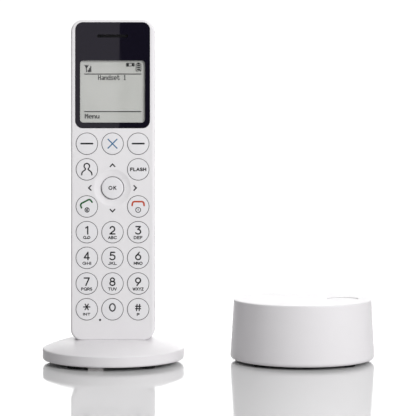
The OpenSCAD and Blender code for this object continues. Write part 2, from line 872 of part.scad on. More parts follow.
module key_1() number_key(-1, 3);
module key_2() number_key(0, 3);
module key_3() number_key(1, 3);
module key_4() number_key(-1, 2);
module key_5() number_key(0, 2);
module key_6() number_key(1, 2);
module key_7() number_key(-1, 1);
module key_8() number_key(0, 1);
module key_9() number_key(1, 1);
module key_star() number_key(-1, 0);
module key_0() number_key(0, 0);
module key_hash() number_key(1, 0);
module key_talk() number_key(-1, 4);
module key_end() number_key(1, 4);
module key_phonebook() key_cap(-key_pitch, menu_y);
module key_flash() key_cap(key_pitch, menu_y);
module key_soft_left() key_cap(-key_pitch, soft_y);
module key_clear() key_cap(0, soft_y);
module key_soft_right() key_cap(key_pitch, soft_y);

// Five-way switch under the navigation key: housing, ring tilting about X, stem tilting about Y
nav_pivot = board_z + 0.65;
nav_yoke_r = 2.8;
nav_yoke_hole = 2.1;
nav_yoke_t = 0.7;
trunnion_r = 0.22;
trunnion_gap = 0.04;

module nav_switch() {
    cavity_r = nav_yoke_r + 0.35;
    color(black) at_handset() translate([0, nav_y, 0]) difference() {
        translate([-3.7, -3.7, board_z + 0.02]) cube([7.4, 7.4, 1]);
        translate([0, 0, board_z + 0.15]) cylinder(r = cavity_r, h = 3);
        translate([-3.45, 0, nav_pivot])
            rotate([0, 90, 0]) cylinder(r = trunnion_r + trunnion_gap, h = 6.9);
    }
}

module nav_yoke() {
    color(steel) at_handset() translate([0, nav_y, nav_pivot]) {
        difference() {
            translate([0, 0, -nav_yoke_t / 2]) cylinder(r = nav_yoke_r, h = nav_yoke_t);
            translate([0, 0, -slack]) cylinder(r = nav_yoke_hole, h = 2 * slack);
            translate([0, -2.65, 0])
                rotate([-90, 0, 0]) cylinder(r = trunnion_r + trunnion_gap, h = 5.3);
        }
        for (side = [0, 1]) {
            mirror([side, 0, 0]) translate([nav_yoke_r - 0.2, 0, 0])
                rotate([0, 90, 0]) cylinder(r = trunnion_r, h = 0.75);
        }
    }
}

module nav_stem() {
    color(steel) at_handset() translate([0, nav_y, nav_pivot]) {
        translate([0, 0, -0.35]) cylinder(r = 1.6, h = 0.7);
        translate([0, -2.5, 0]) rotate([-90, 0, 0]) cylinder(r = trunnion_r, h = 5);
        cylinder(r = 1.1, h = 2.6);
    }
}

module key_ok() {
    flange_bottom = -face_wall - 0.6 - 0.35 - 0.4;
    color(key_white) at_handset() translate([0, nav_y, 0]) difference() {
        union() {
            translate([0, 0, nav_rise])
                crowned_disc(nav_d / 2, nav_rise - flange_bottom, 0.25, 0.45);
            translate([0, 0, flange_bottom]) cylinder(r = nav_d / 2 + 0.95, h = 0.4);
        }
        translate([0, 0, flange_bottom - slack])
            cylinder(r = 1.15, h = nav_pivot + 3.1 - flange_bottom + slack);
    }
}

// ---- Base station ----

// Outline of half the housing, drawn in by inset, with its bottom edge rounded by lip
module base_section(inset, lip = 0) {
    top = base_top_z - inset;
    taper = (base_r - base_top_r) / (base_top_z - base_foot_h);
    soft = base_round;
    edge_x = base_top_r - inset + taper * soft;
    polygon([
        [0, base_foot_h],
        [base_r - inset - lip, base_foot_h],
        [base_r - inset, base_foot_h + lip],
        [edge_x, top - soft],
        [edge_x - soft, top],
        [0, top]
    ]);
    translate([edge_x - soft, top - soft]) circle(soft);
    if (lip > 0)
        translate([base_r - inset - lip, base_foot_h + lip]) circle(lip);
}

module base_shell() {
    color(white) at_base() difference() {
        union() {
            difference() {
                rotate_extrude() base_section(0, base_lip);
                rotate_extrude() difference() {
                    base_section(base_wall);
                    translate([0, base_top_z - base_wall - 0.2]) square([base_r, 3]);
                }
                translate([0, 0, base_foot_h - slack])
                    cylinder(r = base_r - base_wall, h = 2 * slack);
            }
            around(base_screw_angles, base_screw_at)
                translate([0, 0, base_foot_h + base_plate_t])
                    cylinder(r = base_boss_r, h = base_top_z - base_foot_h - base_plate_t - 1);
            intersection() {
                rotate_extrude() base_section(0);
                translate([-niche_w / 2 - niche_wall, niche_y - niche_wall, niche_z - niche_wall])
                    cube([niche_w + 2 * niche_wall, 10, niche_h + 2 * niche_wall]);
            }
        }
        translate([-niche_w / 2, niche_y, niche_z]) cube([niche_w, 10, niche_h]);
        around(base_screw_angles, base_screw_at)
            translate([0, 0, base_foot_h]) cylinder(r = 1.03, h = 11);
        translate([page_x, 0, base_top_z - 4]) cylinder(r = page_r + 0.22, h = 6);
        translate([line_x - line_w / 2 - 0.2, 30, base_board_z + base_board_t - 0.1])
            cube([line_w + 0.4, 12, line_h + 0.3]);
        translate([base_inlet_x, 30, base_inlet_z])
            rotate([-90, 0, 0]) cylinder(r = base_inlet_mouth_r + 0.5, h = 12);
    }
}

module base_bottom_plate() {
    top = base_foot_h + base_plate_t;
    color([0.85, 0.85, 0.86]) at_base() difference() {
        union() {
            translate([0, 0, base_foot_h])
                cylinder(r = base_r - base_wall - 0.2, h = base_plate_t);
            around(base_stand_angles, 24) translate([0, 0, top - 0.1])
                cylinder(r = 2.2, h = base_board_z - top + 0.08);
        }
        around(base_screw_angles, base_screw_at) {
            translate([0, 0, base_foot_h - slack]) cylinder(r = 1.1, h = 4);
            translate([0, 0, base_foot_h - slack]) cylinder(r = 2.1, h = slack + 1);
        }
        around(base_feet_angles, base_feet_at)
            translate([0, 0, base_foot_h - slack]) cylinder(r = 2.55, h = slack + 0.9);
    }
}

module base_pcb() {
    top = base_board_z + base_board_t;
    color(board_green) at_base() {
        difference() {
            translate([0, 0, base_board_z]) cylinder(r = base_board_r, h = base_board_t);
            around(base_screw_angles, base_screw_at)
                translate([0, 0, base_board_z - slack]) cylinder(r = 3.2, h = 4);
        }
        // radio module, main chips, capacitors and two strip antennas
        translate([-22, -14, top]) cube([16, 12, 2.4]);
        translate([-2, -8, top]) cube([9, 9, 1.2]);
        translate([-20, 8, top]) cube([8, 5, 1.5]);
        for (x = [-2, 6]) {
            translate([x, 14, top]) cylinder(r = 2.5, h = 7);
        }
        for (x = [-16, 10]) {
            translate([x, -24, top]) cube([1, 0.4, 6]);
            translate([x, -24, top + 6]) cube([8, 0.4, 1.2]);
        }
    }
}

module base_dc_inlet() {
    color(black) at_base() translate([base_inlet_x, base_back_y, base_inlet_z])
        barrel_inlet(9, 9.4, 13, 1.8, base_inlet_r, base_inlet_mouth_r, 3.5, 1);
}

module base_line_socket() {
    z0 = base_board_z + base_board_t + 0.05;
    hole_z = z0 + 1.2;
    color(black) at_base() translate([line_x, base_back_y, 0]) difference() {
        translate([-line_w / 2, -line_d, z0]) cube([line_w, line_d, line_h]);
        translate([-line_hole_w / 2, -line_d + 2, hole_z])
            cube([line_hole_w, line_d, line_hole_h]);
        // slot for the plug's latch
        translate([-2, -line_d + 6, hole_z + line_hole_h - slack / 2])
            cube([4, line_d, 1.6]);
    }
    color(gold) at_base() for (i = [0:3]) {
        translate([line_x - 1.9 + i * 1.27, base_back_y - line_d + 1.8, hole_z - 0.2])
            cube([0.35, 5, 0.5]);
    }
}

module base_page_button() {
    flange_top = base_top_z - base_wall - 0.3 - 0.2;
    color(white) at_base() translate([page_x, 0, 0]) {
        translate([0, 0, base_top_z])
            crowned_disc(page_r, base_top_z - flange_top, 0.3, 0.2);
        translate([0, 0, flange_top - 1]) cylinder(r = page_r + 1.1, h = 1.01);
        translate([0, 0, page_stem_end]) cylinder(r = 1.6, h = flange_top - page_stem_end);
    }
}

module base_page_switch() {
    z = base_board_z + base_board_t + 0.02;
    color(black) at_base() translate([page_x, 0, z]) {
        translate([-3, -3, 0]) cube([6, 6, 4]);
        cylinder(r = 1.7, h = 4.6);
    }
}

module base_feet() {
    color(black) at_base() around(base_feet_angles, base_feet_at) {
        cylinder(r = base_foot_r, h = base_foot_h);
        cylinder(r = 2.5, h = base_foot_h + 0.8);
    }
}

module base_screws() {
    color(steel) at_base() around(base_screw_angles, base_screw_at)
        translate([0, 0, base_foot_h + 0.05]) screw(2, 0.9, 1, 8);
}

cradle_shell();
cradle_base_plate();
cradle_ballast();
cradle_pcb();
cradle_dc_inlet();
cradle_feet();
cradle_front_pad();
cradle_screws();
cradle_contact_left();
cradle_contact_right();
handset_front_shell();
handset_back_shell();
display_lens();
lcd_panel();
lcd_backlight();
handset_pcb();
key_mat();
dome_sheet();
nav_switch();
earpiece();
earpiece_mesh();
loudspeaker();
microphone();
rf_shield();
charge_contacts();
battery_contacts();
battery_cells();
handset_screws();
battery_cover();
key_1();
key_2();
key_3();
key_4();
key_5();
key_6();
key_7();
key_8();
key_9();
key_star();
key_0();
key_hash();
key_talk();
key_end();
key_phonebook();
key_flash();
key_soft_left();
key_clear();
key_soft_right();
nav_yoke();
nav_stem();
key_ok();
base_shell();
base_bottom_plate();
base_pcb();
base_dc_inlet();
base_line_socket();
base_page_button();
base_page_switch();
base_feet();
base_screws();
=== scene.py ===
import json
import math

import bmesh
import bpy
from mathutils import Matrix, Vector
from mathutils.bvhtree import BVHTree


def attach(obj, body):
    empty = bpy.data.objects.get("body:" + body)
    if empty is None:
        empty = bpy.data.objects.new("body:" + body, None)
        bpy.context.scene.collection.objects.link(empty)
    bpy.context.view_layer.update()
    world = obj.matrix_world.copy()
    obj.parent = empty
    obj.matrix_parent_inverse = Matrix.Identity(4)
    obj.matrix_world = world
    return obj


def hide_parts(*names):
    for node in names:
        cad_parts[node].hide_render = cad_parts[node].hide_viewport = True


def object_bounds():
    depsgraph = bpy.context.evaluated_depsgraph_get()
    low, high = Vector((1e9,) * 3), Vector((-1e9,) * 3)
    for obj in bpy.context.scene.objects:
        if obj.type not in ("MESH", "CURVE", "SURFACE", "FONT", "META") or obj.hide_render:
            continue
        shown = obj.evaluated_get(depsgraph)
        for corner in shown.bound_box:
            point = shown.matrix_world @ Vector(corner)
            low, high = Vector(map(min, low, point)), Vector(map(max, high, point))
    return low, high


# Cordless handset in its charging cradle, with a separate base station. The CAD model
# gives every solid; this script adds the display glass, the printing and all finishes.

MM = 0.001

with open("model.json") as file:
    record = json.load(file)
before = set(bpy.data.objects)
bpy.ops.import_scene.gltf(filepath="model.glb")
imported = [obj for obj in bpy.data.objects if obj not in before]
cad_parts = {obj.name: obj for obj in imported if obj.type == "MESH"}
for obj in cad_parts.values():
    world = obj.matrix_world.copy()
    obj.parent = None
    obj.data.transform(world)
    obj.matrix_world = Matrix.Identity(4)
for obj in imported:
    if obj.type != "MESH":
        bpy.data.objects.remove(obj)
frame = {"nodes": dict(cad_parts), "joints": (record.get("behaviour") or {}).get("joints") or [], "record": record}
cad_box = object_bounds()
scene = bpy.context.scene
cad = frame["nodes"]
joints = {joint["name"]: joint for joint in frame["joints"]}


# ---- The handset's own axes: x to the right, s up along the face, z out of the face, in mm ----

UP = Vector(joints["handset_lift"]["axis"]).normalized()
OUT = -Vector(joints["key_5_press"]["axis"]).normalized()
RIGHT = UP.cross(OUT)


def local_box(name, origin=Vector()):
    """Lowest and highest corner of a CAD node along the handset's axes, in mm from origin."""
    points = [vertex.co - origin for vertex in cad[name].data.vertices]
    reach = [[point.dot(axis) / MM for point in points] for axis in (RIGHT, UP, OUT)]
    return [min(r) for r in reach], [max(r) for r in reach]


shell_low, shell_high = local_box("handset_front_shell")
ORIGIN = (
    RIGHT * (shell_low[0] + shell_high[0]) / 2 + UP * shell_low[1] + OUT * shell_high[2]
) * MM


def at(x, s, z=0.0):
    """A point in the handset's axes, in mm, as a place in the frame, in metres."""
    return ORIGIN + (RIGHT * x + UP * s + OUT * z) * MM


def centre_of(name):
    """Middle of a CAD node's outline on the handset's face, in mm."""
    low, high = local_box(name, ORIGIN)
    return (low[0] + high[0]) / 2, (low[1] + high[1]) / 2


# ---- Camera ----

set_low, set_high = cad_box
CAMERA_BACK = 0.896          # from the set's origin to the camera
CAMERA_HEIGHT = 0.128
CAMERA_SIDE = -0.00055
CAMERA_PITCH = 2.96          # degrees below the horizon
CAMERA_LENS = 146.25

camera = bpy.data.objects.new("camera", bpy.data.cameras.new("camera"))
scene.collection.objects.link(camera)
camera.location = (CAMERA_SIDE, -CAMERA_BACK, CAMERA_HEIGHT)
camera.rotation_euler = (math.radians(90 - CAMERA_PITCH), 0, 0)
camera.data.lens = CAMERA_LENS
camera.data.sensor_width = 36
camera.data.clip_start = 0.05
camera.data.clip_end = 50
scene.camera = camera
scene.view_settings.view_transform = "Standard"


# ---- Materials ----


class Finish:
    """A material's node tree, built one node at a time around a Principled shader."""

    def __init__(self, name):
        self.material = bpy.data.materials.new(name)
        self.material.use_nodes = True
        self.tree = self.material.node_tree
        self.shader = self.tree.nodes["Principled BSDF"]
        self.place = self.add("ShaderNodeTexCoord").outputs["Object"]

    def add(self, kind, **settings):
        node = self.tree.nodes.new(kind)
        for key, value in settings.items():
            setattr(node, key, value)
        return node

    def feed(self, socket, value):
        """Links an output into a socket, or sets the socket's own value."""
        if isinstance(value, bpy.types.NodeSocket):
            self.tree.links.new(value, socket)
        else:
            socket.default_value = value

    def set(self, **values):
        for key, value in values.items():
            self.feed(self.shader.inputs[key.replace("_", " ")], value)

    def math(self, operation, a, b=0.0, c=0.0):
        node = self.add("ShaderNodeMath", operation=operation)
        for socket, value in zip(node.inputs, (a, b, c)):
            self.feed(socket, value)
        return node.outputs[0]

    def product(self, first, *others):
        for other in others:
            first = self.math("MULTIPLY", first, other)
        return first

    def length(self, a, b):
        """Length of the vector (a, b)."""
        squares = [self.math("MULTIPLY", value, value) for value in (a, b)]
        return self.math("SQRT", self.math("ADD", *squares))

    def along(self, direction, start):
        """Distance from a point along a direction, in mm."""
        node = self.add("ShaderNodeVectorMath", operation="DOT_PRODUCT")
        self.feed(node.inputs[0], self.place)
        node.inputs[1].default_value = direction / MM
        return self.math("SUBTRACT", node.outputs["Value"], start.dot(direction) / MM)

    def step(self, value, low, high, to_low=0.0, to_high=1.0):
        """Smooth change from to_low to to_high as value goes from low to high."""
        node = self.add("ShaderNodeMapRange", interpolation_type="SMOOTHSTEP")
        for socket, number in zip(node.inputs, (value, low, high, to_low, to_high)):
            self.feed(socket, number)
        return node.outputs[0]

    def stretched(self, factors):
        """The piece's coordinates, stretched by three factors."""
        node = self.add("ShaderNodeMapping")
        self.feed(node.inputs["Vector"], self.place)
        node.inputs["Scale"].default_value = factors
        return node.outputs[0]

    def noise(self, size, detail=3.0, place=None):
        """Cloudy noise whose features are size mm across."""
        node = self.add("ShaderNodeTexNoise")
        self.feed(node.inputs["Vector"], place or self.place)
        node.inputs["Scale"].default_value = 1 / (size * MM)
        node.inputs["Detail"].default_value = detail
        return node.outputs["Fac"]

    def cells(self, size, feature="F1", place=None):
        node = self.add("ShaderNodeTexVoronoi", feature=feature)
        self.feed(node.inputs["Vector"], place or self.place)
        node.inputs["Scale"].default_value = 1 / (size * MM)
        return node.outputs["Distance"]

    def blend(self, share, first, second):
        """Colour that goes from first to second as share goes from 0 to 1."""
        node = self.add("ShaderNodeMix", data_type="RGBA")
        self.feed(node.inputs["Factor"], share)
        for socket, value in zip((node.inputs[6], node.inputs[7]), (first, second)):
            self.feed(socket, value if isinstance(value, bpy.types.NodeSocket) else (*value, 1))
        return node.outputs[2]

    def bump(self, height, depth, under=None):
        """Surface relief of depth mm, on top of another relief."""
        node = self.add("ShaderNodeBump")
        node.inputs["Distance"].default_value = depth * MM
        self.feed(node.inputs["Height"], height)
        if under is not None:
            self.feed(node.inputs["Normal"], under)
        return node.outputs["Normal"]


def shaded(colour, factor):
    return tuple(channel * factor for channel in colour)


def moulded(name, colour, roughness, grain=0.004):
    """Satin moulded plastic: fine spark-eroded grain, faint flow mottling and light scuffs."""
    finish = Finish(name)
    mottle = finish.noise(9, 4)
    grain_noise = finish.noise(0.18, 2)
    scuffs = finish.noise(0.9, 5, finish.stretched((1, 7, 2.2)))
    scuff_share = finish.step(scuffs, 0.7, 0.82, 0, 0.3)
    tone = finish.blend(finish.step(mottle, 0.3, 0.7), shaded(colour, 0.99), colour)
    finish.set(Base_Color=finish.blend(scuff_share, tone, shaded(colour, 0.98)))
    rough = finish.step(finish.noise(2.6, 4), 0.3, 0.7, roughness - 0.04, roughness + 0.05)
    finish.set(Roughness=finish.math("MULTIPLY_ADD", scuff_share, -0.03, rough))
    relief = finish.bump(mottle, 0.008)
    finish.set(Normal=finish.bump(grain_noise, grain, relief))
    return finish


SHELL_WHITE = (0.81, 0.795, 0.812)
KEY_WHITE = (0.80, 0.79, 0.81)
PUCK_WHITE = (0.765, 0.748, 0.765)

# Painted shade in the narrow gaps round the keys and the glass, in mm
SHADE = (0.02, 0.019, 0.021)     # how dark the painted shade looks
GAP_DEPTH = -0.12                # the shade is painted from this height above the face
GAP_FLOOR = -3.5                 # down to this one
GAP_EASE = 0.1                   # the painted shade fades in over this distance
CAP_SHADE_FROM = 0.16            # a key cap's side gets painted shade from this height down
CAP_SHADE_EASE = 0.08
DISH_R = 9.7                     # the dish round the OK key, which gets no painted shade and stays white
FACE_INSET = 1.6                 # the gaps lie this far inside the shell's outline
FACE_CORNER_R = 4.8              # and inside corners of this radius

# The parting line between the two shells
SEAM_HALF = 0.05                 # half its width, mm
SEAM_EASE = 0.08
SEAM_SHARE = 0.3                 # how strongly it shows
SEAM_GREY = (0.12, 0.12, 0.125)


def casing(name, colour, seam_z):
    """Handset shell: the satin plastic, with painted shade in the key gaps and a fine parting line."""
    finish = moulded(name, colour, 0.42)
    depth = finish.along(OUT, ORIGIN)
    across = finish.along(RIGHT, ORIGIN)
    upward = finish.along(UP, ORIGIN)
    from_seam = finish.math("ABSOLUTE", finish.math("SUBTRACT", depth, seam_z))
    seam = finish.step(from_seam, SEAM_HALF, SEAM_HALF + SEAM_EASE, 1, 0)
    base = finish.shader.inputs["Base Color"].links[0].from_socket
    lined = finish.blend(finish.product(seam, SEAM_SHARE), base, SEAM_GREY)

    # The painted gap shade lies in a rounded rectangle, so that the shell's rounded edge stays white
    half_width = (shell_high[0] - shell_low[0]) / 2 - FACE_INSET - FACE_CORNER_R
    half_height = (shell_high[1] - shell_low[1]) / 2 - FACE_INSET - FACE_CORNER_R
    from_middle = finish.math("SUBTRACT", upward, half_height + FACE_INSET + FACE_CORNER_R)
    past = []
    for offset, half in ((across, half_width), (from_middle, half_height)):
        beyond = finish.math("SUBTRACT", finish.math("ABSOLUTE", offset), half)
        past.append(finish.math("MAXIMUM", beyond, 0.0))
    inside = finish.step(finish.length(*past), FACE_CORNER_R, FACE_CORNER_R + GAP_EASE, 1, 0)
    reach = finish.length(across, finish.math("SUBTRACT", upward, centre_of("key_ok")[1]))
    # Painted shade: near black where the shell lies below the face, inside that rectangle and outside the OK key's
    # dish
    gap = finish.product(
        finish.step(depth, GAP_DEPTH - GAP_EASE, GAP_DEPTH, 1, 0),
        inside,
        finish.step(depth, GAP_FLOOR, GAP_FLOOR + GAP_EASE),
        finish.step(reach, DISH_R + GAP_EASE, DISH_R + 2 * GAP_EASE),
    )
    finish.set(Base_Color=finish.blend(gap, lined, SHADE))
    under = finish.shader.inputs["Normal"].links[0].from_socket
    finish.set(Normal=finish.bump(finish.math("SUBTRACT", 1.0, seam), 0.05, under))
    return finish


def key_cap_finish(name, colour):
    """Key cap: satin top, with painted shade down its side, so the gap around it reads as a fine line."""
    finish = moulded(name, colour, 0.36, grain=0.002)
    depth = finish.along(OUT, ORIGIN)
    # Painted shade: the cap's side below CAP_SHADE_FROM is coloured near black
    low = finish.step(depth, CAP_SHADE_FROM - CAP_SHADE_EASE, CAP_SHADE_FROM, 1, 0)
    base = finish.shader.inputs["Base Color"].links[0].from_socket
    finish.set(Base_Color=finish.blend(low, base, SHADE))
    return finish


def metal(name, colour, roughness):
    """Plated metal: brushed streaks, small roughness changes and dull spots."""
    finish = Finish(name)
    streaks = finish.noise(0.35, 3, finish.stretched((1, 9, 9)))
    dull = finish.step(finish.noise(1.6, 4), 0.55, 0.75)
    finish.set(Base_Color=finish.blend(dull, colour, shaded(colour, 0.8)), Metallic=1.0)
    finish.set(Roughness=finish.step(streaks, 0.3, 0.7, roughness - 0.06, roughness + 0.1))
    finish.set(Normal=finish.bump(streaks, 0.003))
    return finish


def rubber(name, colour, roughness=0.75):
    """Moulded rubber or silicone: dull, dusty in places, with a fine leathery skin."""
    finish = Finish(name)
    dust = finish.step(finish.noise(1.2, 5), 0.5, 0.8)
    pale = tuple(channel * 0.8 + 0.06 for channel in colour)
    finish.set(Base_Color=finish.blend(dust, colour, pale))
    finish.set(Roughness=finish.step(finish.noise(0.6), 0.3, 0.7, roughness - 0.08, roughness + 0.1))
    finish.set(Normal=finish.bump(finish.cells(0.35), 0.02, finish.bump(finish.noise(0.15), 0.008)))
    return finish


def circuit_board(name):
    """Solder mask over copper tracks, with tinned pads."""
    finish = Finish(name)
    bricks = finish.add("ShaderNodeTexBrick")
    finish.feed(bricks.inputs["Vector"], finish.place)
    bricks.inputs["Scale"].default_value = 1 / (6 * MM)
    bricks.inputs["Mortar Size"].default_value = 0.035
    tracks = finish.step(finish.cells(1.9, "DISTANCE_TO_EDGE"), 0.02, 0.05, 1, 0)
    pads = finish.step(finish.cells(2.7), 0.12, 0.15, 1, 0)
    mask = finish.blend(finish.math("MAXIMUM", tracks, bricks.outputs["Fac"]),
                        (0.012, 0.10, 0.045), (0.03, 0.20, 0.08))
    finish.set(Base_Color=finish.blend(pads, mask, (0.62, 0.58, 0.46)))
    finish.set(Metallic=finish.math("MULTIPLY", pads, 0.9))
    finish.set(Roughness=finish.step(finish.noise(1.5), 0.3, 0.7, 0.25, 0.4))
    finish.set(Normal=finish.bump(finish.math("MAXIMUM", tracks, pads), 0.03))
    return finish


CELL_BAND = 50       # where the cells' wrap changes colour, up the handset in mm


def cell_wrap(name):
    """Shrink-wrapped battery cell: two bands of colour on slightly uneven film."""
    finish = Finish(name)
    band = finish.step(finish.along(UP, ORIGIN), CELL_BAND, CELL_BAND + 0.4)
    tone = finish.step(finish.noise(4), 0.3, 0.7)
    lower = finish.blend(tone, (0.06, 0.24, 0.13), (0.07, 0.28, 0.15))
    finish.set(Base_Color=finish.blend(band, lower, (0.75, 0.76, 0.74)))
    finish.set(Roughness=finish.step(finish.noise(0.8), 0.3, 0.7, 0.22, 0.34))
    finish.set(Normal=finish.bump(finish.noise(1.2, 2), 0.03))
    return finish


def polished_black(name, colour):
    """Black-printed display glass: near-mirror gloss with faint smears and dust."""
    finish = Finish(name)
    smears = finish.step(finish.noise(7, 5, finish.stretched((1, 1, 0.45))), 0.45, 0.75)
    specks = finish.step(finish.cells(1.7), 0.035, 0.05, 1, 0)
    finish.set(Base_Color=finish.blend(finish.math("MULTIPLY", specks, 0.35), colour, (0.09, 0.09, 0.1)))
    rough = finish.math("MULTIPLY_ADD", smears, 0.012, 0.012)
    finish.set(Roughness=finish.math("MULTIPLY_ADD", specks, 0.2, rough))
    finish.set(Normal=finish.bump(finish.noise(12, 1), 0.004))
    return finish


DOT_PITCH = (0.27, 0.33)     # of the display's dots, across and up, mm


def lcd_face(name):
    """Reflective liquid crystal: pale grey with its dot grid, a soft unevenness and a faint painted glow."""
    finish = Finish(name)
    cloud = finish.step(finish.noise(14, 2), 0.3, 0.7)
    base = finish.blend(cloud, (0.62, 0.62, 0.60), (0.65, 0.65, 0.63))
    across = finish.math("PINGPONG", finish.along(RIGHT, ORIGIN), DOT_PITCH[0] / 2)
    upward = finish.math("PINGPONG", finish.along(UP, ORIGIN), DOT_PITCH[1] / 2)
    line = finish.math("MINIMUM", across, upward)
    grid = finish.step(line, 0.012, 0.03, 0.16, 0)
    finish.set(Base_Color=finish.blend(grid, base, (0.52, 0.52, 0.50)))
    # Painted light: a faint glow that brightens the panel, which is no lamp
    finish.set(Emission_Color=(1.0, 1.0, 0.97, 1.0), Emission_Strength=0.06)
    finish.set(Roughness=finish.step(finish.noise(0.5), 0.3, 0.7, 0.42, 0.5))
    finish.set(Normal=finish.bump(grid, 0.004))
    return finish


def ink(name, colour, roughness=0.5):
    """Pad-printed ink: nearly even, a little thin in places."""
    finish = Finish(name)
    thin = finish.step(finish.noise(0.35, 4), 0.45, 0.8)
    lighter = tuple(channel + 0.02 for channel in colour)
    finish.set(Base_Color=finish.blend(thin, colour, lighter))
    finish.set(Roughness=finish.step(finish.noise(0.2), 0.3, 0.7, roughness - 0.06, roughness + 0.08))
    finish.set(Normal=finish.bump(finish.noise(0.12), 0.003))
    return finish


def clear_window(name):
    """Clear part of the display glass: see-through, with a gloss that grows at a slant."""
    finish = Finish(name)
    finish.tree.nodes.remove(finish.shader)
    gloss = finish.add("ShaderNodeBsdfAnisotropic")
    smears = finish.step(finish.noise(7, 5), 0.45, 0.75, 0.035, 0.06)
    finish.feed(gloss.inputs["Roughness"], smears)
    through = finish.add("ShaderNodeBsdfTransparent")
    through.inputs["Color"].default_value = (0.97, 0.975, 0.97, 1)
    fresnel = finish.add("ShaderNodeFresnel")
    fresnel.inputs["IOR"].default_value = 1.49
    mixer = finish.add("ShaderNodeMixShader")
    finish.feed(mixer.inputs[0], fresnel.outputs[0])
    finish.feed(mixer.inputs[1], through.outputs[0])
    finish.feed(mixer.inputs[2], gloss.outputs[0])
    output = next(n for n in finish.tree.nodes if n.type == "OUTPUT_MATERIAL")
    finish.feed(output.inputs["Surface"], mixer.outputs[0])
    return finish


split_z = local_box("handset_front_shell", ORIGIN)[0][2]
finishes = {
    "white_plastic": moulded("white_plastic", PUCK_WHITE, 0.36),
    "casing": casing("casing", SHELL_WHITE, split_z),
    "plate_plastic": moulded("plate_plastic", (0.62, 0.62, 0.63), 0.5),
    "key_plastic": key_cap_finish("key_plastic", KEY_WHITE),
    "ok_plastic": moulded("ok_plastic", KEY_WHITE, 0.36, grain=0.002),
    "backlight_plastic": moulded("backlight_plastic", (0.76, 0.76, 0.73), 0.3),
    "black_plastic": moulded("black_plastic", (0.012, 0.012, 0.013), 0.38),
    "lens_black": polished_black("lens_black", (0.006, 0.005, 0.011)),
    "lens_clear": clear_window("lens_clear"),
    "lcd_glass": lcd_face("lcd_glass"),
    "circuit_board": circuit_board("circuit_board"),
    # The key mat is coloured near black as painted shade, since it only shows in the gaps round the keys
    "silicone": rubber("silicone", (0.045, 0.045, 0.05), 0.6),
    "dome_metal": metal("dome_metal", (0.66, 0.65, 0.6), 0.3),
    "steel": metal("steel", (0.56, 0.56, 0.57), 0.32),
    "contact_gold": metal("contact_gold", (0.83, 0.60, 0.25), 0.22),
    "cell_can": cell_wrap("cell_can"),
    "black_rubber": rubber("black_rubber", (0.014, 0.014, 0.015)),
    "pale_rubber": rubber("pale_rubber", (0.60, 0.58, 0.58), 0.7),
    "ink_dark": ink("ink_dark", (0.012, 0.012, 0.014)),
    "ink_blue": ink("ink_blue", (0.04, 0.15, 0.29)),
    "ink_green": ink("ink_green", (0.012, 0.10, 0.025)),
    "ink_red": ink("ink_red", (0.50, 0.055, 0.014)),
    "lcd_ink": ink("lcd_ink", (0.012, 0.012, 0.014), 0.6),
}
OWN_FINISH = {
    "handset_front_shell": "casing", "handset_back_shell": "casing", "battery_cover": "casing",
    "key_ok": "ok_plastic", "earpiece_mesh": "black_plastic", "microphone": "black_rubber",
}

for row in frame["record"]["subparts"]:
    chosen = OWN_FINISH.get(row["node"], row["material_slot"])
    mesh = cad[row["node"]].data
    mesh.materials.clear()
    mesh.materials.append(finishes[chosen].material)


# ---- Meshes ----


def piece(name, points, faces, finish, body):
    """A new mesh piece that rides on a body and takes one of the finishes above by name."""
    mesh = bpy.data.meshes.new(name)
    mesh.from_pydata(points, [], faces)
    mesh.materials.append(finishes[finish].material)
    made = bpy.data.objects.new(name, mesh)
    scene.collection.objects.link(made)
    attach(made, body)
    return made


def arc(cx, cy, rx, ry, start, end, step=15):
    """Points on an ellipse between two angles in degrees."""
    count = max(2, round(abs(end - start) / step))
    angles = [math.radians(start + (end - start) * i / count) for i in range(count + 1)]
    return [(cx + rx * math.cos(a), cy + ry * math.sin(a)) for a in angles]


def ring(cx, cy, rx, ry):
    """A whole ellipse, closed."""
    return arc(cx, cy, rx, ry, 90, 450)


def distance(a, b):
    return math.hypot(b[0] - a[0], b[1] - a[1])


def resampled(points, spacing):
    """The same line with no two points further apart than spacing."""
    line = [points[0]]
    for a, b in zip(points, points[1:]):
        count = max(1, math.ceil(distance(a, b) / spacing))
        line += [
            (a[0] + (b[0] - a[0]) * i / count, a[1] + (b[1] - a[1]) * i / count)
            for i in range(1, count + 1)
        ]
    return line


def split_at_corners(points, sharpest=50):
    """Cuts a line at its sharp corners, so each piece bends gently."""
    parts, current = [], [points[0]]
    for before, here, after in zip(points, points[1:], points[2:]):
        current.append(here)
        heading = math.atan2(here[1] - before[1], here[0] - before[0])
        turned = math.atan2(after[1] - here[1], after[0] - here[0]) - heading
        if abs(math.remainder(turned, math.tau)) > math.radians(sharpest):
            parts.append(current)
            current = [here]
    current.append(points[-1])
    return parts + [current]


